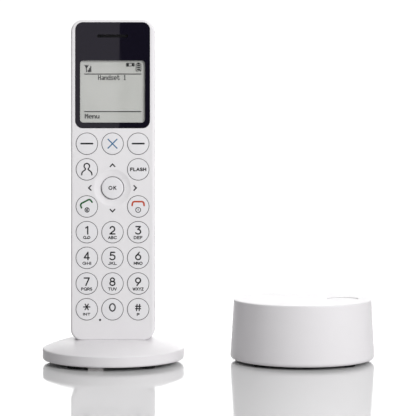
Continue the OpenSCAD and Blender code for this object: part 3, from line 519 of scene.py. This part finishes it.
class Print:
    """Strokes of ink gathered into one thin closed mesh that lies on a surface."""

    HEIGHT = 0.02        # top of the ink above the surface, mm
    SINK = 0.05          # bottom of the ink below the surface
    STAGGER = 0.0015     # each stroke lies this much higher than the one before
    SPACING = 0.6        # most distance between points along a stroke
    CAP_POINTS = 5       # points round each end of a stroke

    def __init__(self, drop):
        self.drop = drop         # gives the surface's z in mm at (x, s)
        self.points, self.faces, self.count = [], [], 0

    def solid(self, outline, polygons, loops):
        """A thin solid from a flat net: its polygons, and the loops round its edge."""
        top = len(self.points)
        lift = self.HEIGHT + self.STAGGER * self.count
        self.count += 1
        levels = [self.drop(x, s) for x, s in outline]
        self.points += [at(x, s, z + lift) for (x, s), z in zip(outline, levels)]
        self.points += [at(x, s, z - self.SINK) for (x, s), z in zip(outline, levels)]
        low = top + len(outline)
        for polygon in polygons:
            self.faces.append([top + i for i in polygon])
            self.faces.append([low + i for i in reversed(polygon)])
        for loop in loops:
            for a, b in zip(loop, loop[1:] + loop[:1]):
                self.faces.append([low + a, low + b, top + b, top + a])

    def stroke(self, points, width):
        """A line of that width with round ends, or a ring if the line is closed."""
        closed = distance(points[0], points[-1]) < 1e-6
        if closed and len(split_at_corners(points)) == 1:
            self.ribbon(resampled(points, self.SPACING)[:-1], width, True)
            return
        for part in split_at_corners(points):
            self.ribbon(resampled(part, self.SPACING), width, False)

    def ribbon(self, line, width, closed):
        half, count, outline = width / 2, len(line), []
        for i, (x, y) in enumerate(line):
            before = line[i - 1] if closed or i else line[0]
            after = line[(i + 1) % count] if closed or i < count - 1 else line[-1]
            heading = math.atan2(after[1] - before[1], after[0] - before[0])
            side = (-math.sin(heading) * half, math.cos(heading) * half)
            outline += [(x + side[0], y + side[1]), (x - side[0], y - side[1])]
        left, right = list(range(0, 2 * count, 2)), list(range(1, 2 * count, 2))
        pairs = list(zip(range(count - 1), range(1, count))) + ([(count - 1, 0)] if closed else [])
        polygons = [[right[a], right[b], left[b], left[a]] for a, b in pairs]
        if closed:
            self.solid(outline, polygons, [right, left[::-1]])
            return
        end = self.cap(outline, line[-1], line[-2], half)
        start = self.cap(outline, line[0], line[1], half)
        polygons += [[right[-1]] + end + [left[-1]], [left[0]] + start + [right[0]]]
        self.solid(outline, polygons, [right + end + left[::-1] + start])

    def cap(self, outline, tip, inner, half):
        """Adds the points of a round end, in order round the tip, and gives their numbers."""
        heading = math.atan2(tip[1] - inner[1], tip[0] - inner[0])
        first = len(outline)
        for i in range(1, self.CAP_POINTS + 1):
            angle = heading - math.pi / 2 + math.pi * i / (self.CAP_POINTS + 1)
            outline.append((tip[0] + half * math.cos(angle), tip[1] + half * math.sin(angle)))
        return list(range(first, len(outline)))

    def bar(self, x0, y0, x1, y1):
        """A filled rectangle."""
        self.solid([(x0, y0), (x1, y0), (x1, y1), (x0, y1)], [[0, 1, 2, 3]], [[0, 1, 2, 3]])

    def finish(self, name, finish, body, slot):
        return piece(name, self.points, self.faces, finish, body)


RAY_START = 8        # rays look for the surface from this far in front of the face, mm


def surface_of(name):
    """Gives the height in mm of a CAD node's front surface above the handset's face."""
    mesh = cad[name].data
    tree = BVHTree.FromPolygons(
        [vertex.co for vertex in mesh.vertices], [polygon.vertices for polygon in mesh.polygons])

    def drop(x, s):
        hit = tree.ray_cast(at(x, s, RAY_START), -OUT)[0]
        return (hit - ORIGIN).dot(OUT) / MM

    return drop


# ---- Lettering: single strokes in a box one unit high ----

ZERO = ring(0.36, 0.5, 0.36, 0.5)
GLYPHS = {
    "0": [ZERO],
    "1": [[(0.02, 0.82), (0.27, 1), (0.27, 0)]],
    "2": [arc(0.34, 0.67, 0.32, 0.33, 165, -40) + [(0, 0), (0.7, 0)]],
    "3": [[(0.05, 1), (0.62, 1), (0.30, 0.61)] + arc(0.31, 0.31, 0.34, 0.31, 90, -150)],
    "4": [[(0.55, 0), (0.55, 1), (0, 0.25), (0.74, 0.25)]],
    "5": [[(0.62, 1), (0.13, 1), (0.08, 0.57)] + arc(0.31, 0.32, 0.34, 0.32, 125, -150)],
    "6": [ring(0.35, 0.33, 0.34, 0.33), [(0.5, 1), (0.08, 0.48)]],
    "7": [[(0, 1), (0.66, 1), (0.22, 0)]],
    "8": [ring(0.34, 0.76, 0.26, 0.24), ring(0.34, 0.27, 0.34, 0.27)],
    "9": [ring(0.35, 0.67, 0.34, 0.33), [(0.2, 0), (0.62, 0.52)]],
    "A": [[(0, 0), (0.38, 1), (0.76, 0)], [(0.14, 0.34), (0.62, 0.34)]],
    "B": [[(0, 0), (0, 1), (0.3, 1)] + arc(0.3, 0.77, 0.25, 0.23, 90, -90) + [(0, 0.54)],
          [(0, 0.54), (0.33, 0.54)] + arc(0.33, 0.27, 0.29, 0.27, 90, -90) + [(0, 0)]],
    "C": [arc(0.48, 0.5, 0.48, 0.5, 45, 315)],
    "D": [[(0, 0), (0, 1), (0.26, 1)] + arc(0.26, 0.5, 0.46, 0.5, 90, -90) + [(0, 0)]],
    "E": [[(0.58, 1), (0, 1), (0, 0), (0.58, 0)], [(0, 0.52), (0.52, 0.52)]],
    "F": [[(0.58, 1), (0, 1), (0, 0)], [(0, 0.52), (0.5, 0.52)]],
    "G": [arc(0.48, 0.5, 0.48, 0.5, 45, 360) + [(0.55, 0.5)]],
    "H": [[(0, 0), (0, 1)], [(0.68, 0), (0.68, 1)], [(0, 0.52), (0.68, 0.52)]],
    "I": [[(0, 0), (0, 1)]],
    "J": [[(0.45, 1), (0.45, 0.25)] + arc(0.22, 0.25, 0.23, 0.25, 0, -150)],
    "K": [[(0, 0), (0, 1)], [(0.62, 1), (0, 0.42)], [(0.2, 0.6), (0.66, 0)]],
    "L": [[(0, 1), (0, 0), (0.55, 0)]],
    "M": [[(0, 0), (0, 1), (0.42, 0.3), (0.84, 1), (0.84, 0)]],
    "N": [[(0, 0), (0, 1), (0.68, 0), (0.68, 1)]],
    "O": [ring(0.48, 0.5, 0.48, 0.5)],
    "P": [[(0, 0), (0, 1), (0.32, 1)] + arc(0.32, 0.74, 0.27, 0.26, 90, -90) + [(0, 0.48)]],
    "Q": [ring(0.48, 0.5, 0.48, 0.5), [(0.58, 0.26), (0.94, -0.06)]],
    "R": [[(0, 0), (0, 1), (0.32, 1)] + arc(0.32, 0.74, 0.27, 0.26, 90, -90) + [(0, 0.48)],
          [(0.3, 0.48), (0.62, 0)]],
    "S": [arc(0.3, 0.75, 0.27, 0.25, 40, 270) + arc(0.3, 0.26, 0.3, 0.26, 75, -145)],
    "T": [[(0, 1), (0.7, 1)], [(0.35, 1), (0.35, 0)]],
    "U": [[(0, 1), (0, 0.33)] + arc(0.34, 0.33, 0.34, 0.33, 180, 360) + [(0.68, 1)]],
    "V": [[(0, 1), (0.37, 0), (0.74, 1)]],
    "W": [[(0, 1), (0.26, 0), (0.52, 0.9), (0.78, 0), (1.04, 1)]],
    "X": [[(0, 1), (0.68, 0)], [(0.68, 1), (0, 0)]],
    "Y": [[(0, 1), (0.35, 0.45), (0.7, 1)], [(0.35, 0.45), (0.35, 0)]],
    "Z": [[(0, 1), (0.64, 1), (0, 0), (0.68, 0)]],
}


def lettering(text, height, weight, middle, width=None, gap=0.3):
    """Strokes of a word: outer height and width in mm, centred on a point."""
    strokes, pen = [], 0.0
    for character in text:
        glyph = GLYPHS[character]
        low = min(x for stroke in glyph for x, _ in stroke)
        high = max(x for stroke in glyph for x, _ in stroke)
        strokes += [[(x - low + pen, y) for x, y in stroke] for stroke in glyph]
        pen += high - low + gap
    length = pen - gap
    tall = height - weight
    wide = (width - weight) / length if width else tall
    return [
        [(middle[0] + (x - length / 2) * wide, middle[1] + (y - 0.5) * tall) for x, y in stroke]
        for stroke in strokes
    ]


def placed(strokes, dx, dy, turn=0.0):
    """Strokes turned by an angle in degrees and moved."""
    c, s = math.cos(math.radians(turn)), math.sin(math.radians(turn))
    return [[(x * c - y * s + dx, x * s + y * c + dy) for x, y in stroke] for stroke in strokes]


# ---- Legends on the keys ----

DIGIT = dict(height=4.55, weight=0.7, middle=(0, 1.0))
SMALL_HEIGHT = 1.7
SMALL_WEIGHT = 0.38
SMALL_Y = -2.85
SMALL_WIDTHS = {3: 4.65, 4: 5.9}     # of three and four small letters
LETTERS = {
    "2": "ABC", "3": "DEF", "4": "GHI", "5": "JKL", "6": "MNO", "7": "PQRS", "8": "TUV", "9": "WXYZ",
}


def print_key(node, groups):
    """Prints strokes on a key: groups of (ink, [(strokes, width)]) in mm from its middle."""
    cx, cy = centre_of(node)
    drop = surface_of(node)
    for finish, marks in groups:
        sheet = Print(drop)
        for strokes, width in marks:
            for stroke in placed(strokes, cx, cy):
                sheet.stroke(stroke, width)
        colour = finish.removeprefix("ink_")
        sheet.finish(f"legend_{node}_{colour}", finish, node, "key_plastic")


def small_word(word):
    width = SMALL_WIDTHS[len(word)]
    return lettering(word, SMALL_HEIGHT, SMALL_WEIGHT, (0, SMALL_Y), width), SMALL_WEIGHT


def digit(character, width=3.3):
    return lettering(character, width=width, **DIGIT), DIGIT["weight"]


for character, letters in LETTERS.items():
    print_key(f"key_{character}", [("ink_dark", [digit(character), small_word(letters)])])

print_key("key_0", [("ink_dark", [digit("0", 3.6)])])

# Two loops on a line, for messages
LOOP_R = 0.62
LOOP_X = 1.08
LOOP_Y = -2.75
loops = [ring(side * LOOP_X, LOOP_Y, LOOP_R, LOOP_R) for side in (-1, 1)]
loops.append([(-LOOP_X, LOOP_Y - LOOP_R), (LOOP_X, LOOP_Y - LOOP_R)])
print_key("key_1", [("ink_dark", [digit("1", 1.7), (loops, SMALL_WEIGHT)])])

SIGN_WEIGHT = 0.6            # strokes of the star and the hash
STAR_R = 1.66
STAR_Y = 1.25
INT_WEIGHT = 0.36
star = [
    [(STAR_R * math.cos(a), STAR_Y + STAR_R * math.sin(a)),
     (-STAR_R * math.cos(a), STAR_Y - STAR_R * math.sin(a))]
    for a in (0, math.radians(60), math.radians(120))
]
print_key("key_star", [("ink_dark", [
    (star, SIGN_WEIGHT), (lettering("INT", 1.45, INT_WEIGHT, (0, -2.58), 3.9), INT_WEIGHT)])])

HASH_SLANT = 0.12
HASH_Y = 0.95
HASH_HALF_W = 1.3
HASH_HALF_H = 1.65
P_WEIGHT = 0.4
hash_marks = [[(x - HASH_SLANT, HASH_Y - HASH_HALF_H), (x + HASH_SLANT, HASH_Y + HASH_HALF_H)]
              for x in (-0.68, 0.68)]
hash_marks += [[(-HASH_HALF_W, HASH_Y + y), (HASH_HALF_W, HASH_Y + y)] for y in (-0.62, 0.62)]
print_key("key_hash", [("ink_dark", [
    (hash_marks, SIGN_WEIGHT), (lettering("P", 1.6, P_WEIGHT, (0.05, -2.75), 1.5), P_WEIGHT)])])

BOLD_WEIGHT = 0.86           # strokes of the bars and the receivers
SOFT_BAR = [(-3.0, 0.05), (3.0, 0.05)]
for side in ("left", "right"):
    print_key(f"key_soft_{side}", [("ink_dark", [([SOFT_BAR], BOLD_WEIGHT)])])

CROSS = 2.35
print_key("key_clear", [("ink_blue", [
    ([[(-CROSS, -CROSS), (CROSS, CROSS)], [(-CROSS, CROSS), (CROSS, -CROSS)]], 0.62)])])

FLASH_WEIGHT = 0.5
flash = lettering("FLASH", 1.95, FLASH_WEIGHT, (0, 0), 8.5, 0.34)
print_key("key_flash", [("ink_dark", [(flash, FLASH_WEIGHT)])])

# Outline of a person: shoulders, neck and round head in one line
HEAD_R = 1.42
HEAD_Y = 1.7
shoulder = [(-2.7, -2.85), (-2.62, -2.1), (-2.35, -1.45), (-1.85, -0.95), (-1.2, -0.5), (-0.7, -0.05)]
head = arc(0, HEAD_Y, HEAD_R, HEAD_R, 236, -56, 12)
person = shoulder + head + [(-x, y) for x, y in reversed(shoulder)]
print_key("key_phonebook", [("ink_dark", [([person], 0.67)])])

# A telephone receiver seen from the side: a bar with turned-down ends
RECEIVER_HALF = [(2.0, 0.55), (2.65, 0.3), (3.0, -0.3), (3.15, -1.5)]
receiver = [[(-x, y) for x, y in reversed(RECEIVER_HALF)] + RECEIVER_HALF]
ICON_Y = -1.8                # middle of the small sign under each receiver
power = [ring(0, ICON_Y, 1.3, 1.3), [(0, ICON_Y + 0.5), (0, ICON_Y - 0.2)]]
print_key("key_end", [
    ("ink_red", [(placed(receiver, 0, 2.0), BOLD_WEIGHT)]),
    ("ink_dark", [(power, 0.4)]),
])
horn = [(-0.3, -0.4), (-0.3, 0.4), (0.4, 0.65), (0.4, -0.65), (-0.3, -0.4)]
speaker = [ring(0.15, ICON_Y, 1.1, 1.2), *placed([horn], 0, ICON_Y)]
print_key("key_talk", [
    ("ink_green", [(placed(receiver, -0.7, 2.1, 28), BOLD_WEIGHT)]),
    ("ink_dark", [(speaker, 0.42)]),
])

OK_WEIGHT = 0.46
print_key("key_ok", [("ink_dark", [(lettering("OK", 2.1, OK_WEIGHT, (0, 0), 4.2, 0.5), OK_WEIGHT)])])

# Arrows around the navigation key, printed on the shell
ok_x, ok_y = centre_of("key_ok")
ARROW_AT = 11.9              # from the middle of the key
ARROW_WEIGHT = 0.66
arrows = Print(surface_of("handset_front_shell"))
chevron = [(-1.22, -0.62), (0, 0.66), (1.22, -0.62)]
for turn in (0, 90, 180, 270):
    turned = placed(placed([chevron], 0, ARROW_AT), 0, 0, turn)
    arrows.stroke(placed(turned, ok_x, ok_y)[0], ARROW_WEIGHT)
arrows.finish("arrow_marks", "ink_dark", "handset", "key_plastic")


# ---- Display ----

lens_low, lens_high = local_box("display_lens", ORIGIN)
lcd_front = local_box("lcd_panel", ORIGIN)[1][2]
WINDOW_W = 34.2
WINDOW_H = 32.7
WINDOW_FOOT = 2.95           # bottom of the lens to the bottom of the window
WINDOW_CORNER = 1.8
LENS_CORNER = 3.9
LENS_EDGE = 0.25             # rounding of the glass's front edge
EDGE_TURNS = (22, 45, 68, 90)    # degrees round that edge at which it has points
SLOT_W = 16.3                # the earpiece slot
SLOT_H = 1.6
SLOT_CORNER = 0.75
window_x0 = (lens_low[0] + lens_high[0] - WINDOW_W) / 2
window_y0 = lens_low[1] + WINDOW_FOOT


def rounded(x0, y0, x1, y1, radius, per_corner=10):
    """Outline of a rectangle with round corners, anticlockwise from the lower right one."""
    corners = ((x1 - radius, y0 + radius, -90), (x1 - radius, y1 - radius, 0),
               (x0 + radius, y1 - radius, 90), (x0 + radius, y0 + radius, 180))
    step = 90 / per_corner
    return [p for cx, cy, a in corners for p in arc(cx, cy, radius, radius, a, a + 90, step)]


def bridge(lower, upper):
    """Faces between two rings of the same number of points."""
    n = len(lower)
    return [[lower[i], lower[(i + 1) % n], upper[(i + 1) % n], upper[i]] for i in range(n)]


def bezel():
    """Black-printed part of the display glass, with the window and the earpiece slot cut out."""
    x0, y0, z0 = lens_low
    x1, y1, z1 = lens_high
    edges = [(0.0, z1 - LENS_EDGE)]
    edges += [(LENS_EDGE * (1 - math.cos(a)), z1 - LENS_EDGE * (1 - math.sin(a)))
              for a in map(math.radians, EDGE_TURNS)]
    points, faces = [], []

    def add_ring(outline, z):
        first = len(points)
        points.extend(at(x, y, z) for x, y in outline)
        return list(range(first, len(points)))

    outer_low = add_ring(rounded(x0, y0, x1, y1, LENS_CORNER), z0)
    last = outer_low
    for inset, z in edges:
        outline = rounded(x0 + inset, y0 + inset, x1 - inset, y1 - inset, LENS_CORNER - inset)
        following = add_ring(outline, z)
        faces.extend(bridge(last, following))
        last = following
    window = rounded(window_x0, window_y0, window_x0 + WINDOW_W, window_y0 + WINDOW_H, WINDOW_CORNER)
    slot_low, slot_high = local_box("earpiece_mesh", ORIGIN)
    slot_x, slot_y = (slot_low[0] + slot_high[0]) / 2, (slot_low[1] + slot_high[1]) / 2
    slot = rounded(slot_x - SLOT_W / 2, slot_y - SLOT_H / 2, slot_x + SLOT_W / 2, slot_y + SLOT_H / 2,
                   SLOT_CORNER)
    holes = []
    for outline in (window, slot):
        holes.append((add_ring(outline, z0), add_ring(outline, z1)))
        faces.extend(bridge(holes[-1][1], holes[-1][0]))
    made = piece("display_bezel", points, faces, "lens_black", "handset")
    fill_level(made, [last] + [high for _, high in holes])
    fill_level(made, [outer_low] + [low for low, _ in holes])
    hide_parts("display_lens")
    return made


def fill_level(made, loops):
    """Fills the flat area between an outer ring of vertices and the holes in it."""
    mesh = bmesh.new()
    mesh.from_mesh(made.data)
    mesh.verts.ensure_lookup_table()
    edges = []
    for loop in loops:
        for a, b in zip(loop, loop[1:] + loop[:1]):
            edge = mesh.edges.get((mesh.verts[a], mesh.verts[b]))
            edges.append(edge or mesh.edges.new((mesh.verts[a], mesh.verts[b])))
    bmesh.ops.triangle_fill(mesh, use_beauty=True, use_dissolve=False, edges=edges)
    bmesh.ops.recalc_face_normals(mesh, faces=mesh.faces)
    mesh.to_mesh(made.data)
    mesh.free()


glass = bezel()

# Clear pane in the window, a hair smaller than its hole
PANE_GAP = 0.01
pane_outline = rounded(window_x0 + PANE_GAP, window_y0 + PANE_GAP, window_x0 + WINDOW_W - PANE_GAP,
                       window_y0 + WINDOW_H - PANE_GAP, WINDOW_CORNER)
pane_points = [at(x, y, z) for z in (lens_low[2], lens_high[2]) for x, y in pane_outline]
back_ring = list(range(len(pane_outline)))
front_ring = [len(pane_outline) + i for i in back_ring]
pane_faces = bridge(back_ring, front_ring) + [back_ring[::-1], front_ring]
pane = piece("display_pane", pane_points, pane_faces, "lens_clear", "handset")
pane.visible_shadow = False

# What the display shows: segments and dots just in front of the liquid crystal, placed in
# mm from the window's lower left corner
screen = Print(lambda x, s: lcd_front)


def on_screen(stroke):
    return [(window_x0 + x, window_y0 + y) for x, y in stroke]


def screen_bar(x0, y0, x1, y1):
    screen.bar(window_x0 + x0, window_y0 + y0, window_x0 + x1, window_y0 + y1)


# Seven rows of five dots for each character
DOT_ROWS = {
    "H": ("#...#", "#...#", "#...#", "#####", "#...#", "#...#", "#...#"),
    "a": (".....", ".....", ".###.", "....#", ".####", "#...#", ".####"),
    "n": (".....", ".....", "#.##.", "##..#", "#...#", "#...#", "#...#"),
    "d": ("....#", "....#", ".##.#", "#..##", "#...#", "#...#", ".####"),
    "s": (".....", ".....", ".####", "#....", ".###.", "....#", "####."),
    "e": (".....", ".....", ".###.", "#...#", "#####", "#....", ".###."),
    "t": (".#...", ".#...", "####.", ".#...", ".#...", ".#..#", "..##."),
    "1": ("..#..", ".##..", "..#..", "..#..", "..#..", "..#..", ".###."),
    "M": ("#...#", "##.##", "#.#.#", "#.#.#", "#...#", "#...#", "#...#"),
    "u": (".....", ".....", "#...#", "#...#", "#...#", "#..##", ".##.#"),
    " ": (".....",) * 7,
}
DOT_COLUMNS = 6              # five dots and the gap after them
DOT_LINES = 7
DOT_SPREAD = 0.13            # how far a run of dots spreads to its right, mm


def run_lengths(dots):
    """First and past-the-last column of each unbroken run of dots."""
    runs, start = [], None
    for column, mark in enumerate(dots + "."):
        if mark == "#" and start is None:
            start = column
        elif mark != "#" and start is not None:
            runs.append((start, column))
            start = None
    return runs


def screen_text(text, x, y, width, height):
    """Dot-matrix text with its lower left corner at (x, y)."""
    dot_w = width / (DOT_COLUMNS * len(text) - 1)
    dot_h = height / DOT_LINES
    for i, character in enumerate(text):
        for j, dots in enumerate(DOT_ROWS[character]):
            base = y + (DOT_LINES - 1 - j) * dot_h
            for first, last in run_lengths(dots):
                left = x + (DOT_COLUMNS * i + first) * dot_w
                right = x + (DOT_COLUMNS * i + last) * dot_w + DOT_SPREAD
                screen_bar(left, base, right, base + dot_h)


screen_text("Handset 1", 9.35, 22.5, 14.75, 2.65)
screen_text("Menu", 2.4, 2.25, 7.6, 2.4)
RULE_X = (2.1, 32.2)         # ends of the two ruled lines
RULE_HALF = 0.22
for rule_y in (25.65, 5.85):
    screen_bar(RULE_X[0], rule_y - RULE_HALF, RULE_X[1], rule_y + RULE_HALF)

# Signal strength: an aerial and three rising bars
AERIAL_WEIGHT = 0.42
SIGNAL_X = 4.0
SIGNAL_FOOT = 26.7
SIGNAL_PITCH = 0.66
SIGNAL_W = 0.48
screen.stroke(on_screen([(2.45, 30.3), (3.3, 28.9), (4.15, 30.3)]), AERIAL_WEIGHT)
screen.stroke(on_screen([(3.3, 30.3), (3.3, 26.9)]), AERIAL_WEIGHT)
for i, top in enumerate((27.8, 28.8, 29.9)):
    left = SIGNAL_X + i * SIGNAL_PITCH
    screen_bar(left, SIGNAL_FOOT, left + SIGNAL_W, top)

# Charging plug, and the battery with its cap and three cells
FRAME_WEIGHT = 0.3
CELL_FOOT = 27.75
CELL_PITCH = 1.08
CELL_H = 0.65


def screen_frame(x0, y0, x1, y1, radius):
    """Outline of a box with slightly round corners."""
    outline = rounded(x0, y0, x1, y1, radius, per_corner=3)
    screen.stroke(on_screen(outline + [(x1, y0 + radius)]), FRAME_WEIGHT)


screen_frame(24.3, 29.7, 28.5, 31.4, 0.35)
for left in (24.6, 27.2):
    screen_bar(left, 29.95, left + 1, 31.15)
screen_frame(29.4, 27.2, 32.0, 31.0, 0.3)
screen_bar(30.1, 31.1, 31.3, 31.65)
for i in range(3):
    foot = CELL_FOOT + i * CELL_PITCH
    screen_bar(29.95, foot, 31.45, foot + CELL_H)
screen.finish("display_image", "lcd_ink", "handset", "lcd_glass")


# ---- Studio: floor, light and surroundings ----

FLOOR_REACH = 6.0
floor_mesh = bpy.data.meshes.new("floor")
floor_mesh.from_pydata(
    [(x * FLOOR_REACH, y * FLOOR_REACH, set_low[2]) for x, y in ((-1, -1), (1, -1), (1, 1), (-1, 1))],
    [], [[0, 1, 2, 3]])
floor = bpy.data.objects.new("floor", floor_mesh)
scene.collection.objects.link(floor)


def glossy_floor(name):
    """Polished pale floor, which mirrors the bright wall behind the phone."""
    finish = Finish(name)
    finish.set(Base_Color=finish.blend(finish.noise(400, 2), (0.71, 0.71, 0.715), (0.73, 0.73, 0.73)))
    finish.set(Roughness=finish.step(finish.noise(60, 3), 0.3, 0.7, 0.06, 0.08), IOR=1.75)
    return finish


floor_mesh.materials.append(glossy_floor("floor").material)


def softbox(name, place, target, width, height, watts):
    """A rectangular light that faces its target and doesn't show in the picture."""
    lamp = bpy.data.lights.new(name, "AREA")
    lamp.shape = "RECTANGLE"
    lamp.size, lamp.size_y, lamp.energy = width, height, watts
    made = bpy.data.objects.new(name, lamp)
    scene.collection.objects.link(made)
    made.location = place
    made.rotation_euler = (Vector(target) - Vector(place)).to_track_quat("-Z", "Y").to_euler()
    made.visible_camera = False
    return made


middle = (set_low + set_high) / 2
key_light = softbox("key_light", (0.7, -1.06, 0.66), middle, width=0.8, height=0.8, watts=16.6)
key_light.visible_glossy = False     # no square glare in the floor or the plastic
softbox("top_light", (0.0, 0.15, 1.3), middle, width=1.2, height=1.0, watts=1.5)

# Pale panel far behind the camera, on its left, which only the display glass mirrors
PANEL_DISTANCE = 2.0
PANEL_EDGE = -0.1527         # its right edge, which shows as a line down the glass
PANEL_HEIGHT = 0.6
PANEL_W = 0.8
PANEL_H = 1.1
panel_x = PANEL_EDGE - PANEL_W / 2
panel = softbox("reflection_panel", (panel_x, -PANEL_DISTANCE, PANEL_HEIGHT),
                (panel_x, 0, PANEL_HEIGHT), PANEL_W, PANEL_H, watts=1.6)
panel.data.color = (0.98, 0.93, 1.0)
mirrors = bpy.data.collections.new("mirrors")
for mirror in (glass, pane):
    mirrors.objects.link(mirror)
panel.light_linking.receiver_collection = mirrors


BASE_GLOW = 0.09             # light from every direction
GLOWS = (                    # direction, cosines where it starts and is full, strength
    ((0, 0, 1), 0.2, 0.95, 0.44),        # overhead
    ((0, 1, 0.15), 0.2, 0.8, 0.35),      # the wall behind the phone
    ((0, 1, 0.12), 0.85, 0.95, 1.5),     # its lit middle, which the floor mirrors
    ((1, 0, 0.2), 0.1, 0.9, 0.1),        # the right side
)
DIM_SIDE = ((0, -1, 0.2), 0.72, 0.93, 0.8)   # the dark room behind the camera
BACKDROP = 1.1               # what the camera sees behind the set


def surroundings():
    """A white studio that is darker behind the camera and on the left."""
    world = bpy.data.worlds.new("studio")
    scene.world = world
    world.use_nodes = True
    tree = world.node_tree
    background = tree.nodes["Background"]
    direction = tree.nodes.new("ShaderNodeTexCoord").outputs["Generated"]

    def toward(vector, low, high, share):
        """share, reached smoothly as the direction turns towards vector."""
        dot = tree.nodes.new("ShaderNodeVectorMath")
        dot.operation = "DOT_PRODUCT"
        tree.links.new(direction, dot.inputs[0])
        dot.inputs[1].default_value = Vector(vector).normalized()
        ease = tree.nodes.new("ShaderNodeMapRange")
        ease.interpolation_type = "SMOOTHSTEP"
        tree.links.new(dot.outputs["Value"], ease.inputs[0])
        for socket, value in zip(ease.inputs[1:5], (low, high, 0, share)):
            socket.default_value = value
        return ease.outputs[0]

    def combine(operation, a, b):
        node = tree.nodes.new("ShaderNodeMath")
        node.operation = operation
        for socket, value in zip(node.inputs, (a, b)):
            if isinstance(value, bpy.types.NodeSocket):
                tree.links.new(value, socket)
            else:
                socket.default_value = value
        return node.outputs[0]

    light = BASE_GLOW
    for glow in GLOWS:
        light = combine("ADD", toward(*glow), light)
    light = combine("MULTIPLY", light, combine("SUBTRACT", 1.0, toward(*DIM_SIDE)))
    camera_ray = tree.nodes.new("ShaderNodeLightPath").outputs["Is Camera Ray"]
    seen = combine("MULTIPLY", combine("SUBTRACT", BACKDROP, light), camera_ray)
    tree.links.new(combine("ADD", light, seen), background.inputs["Strength"])
    background.inputs["Color"].default_value = (1, 1, 1, 1)


surroundings()
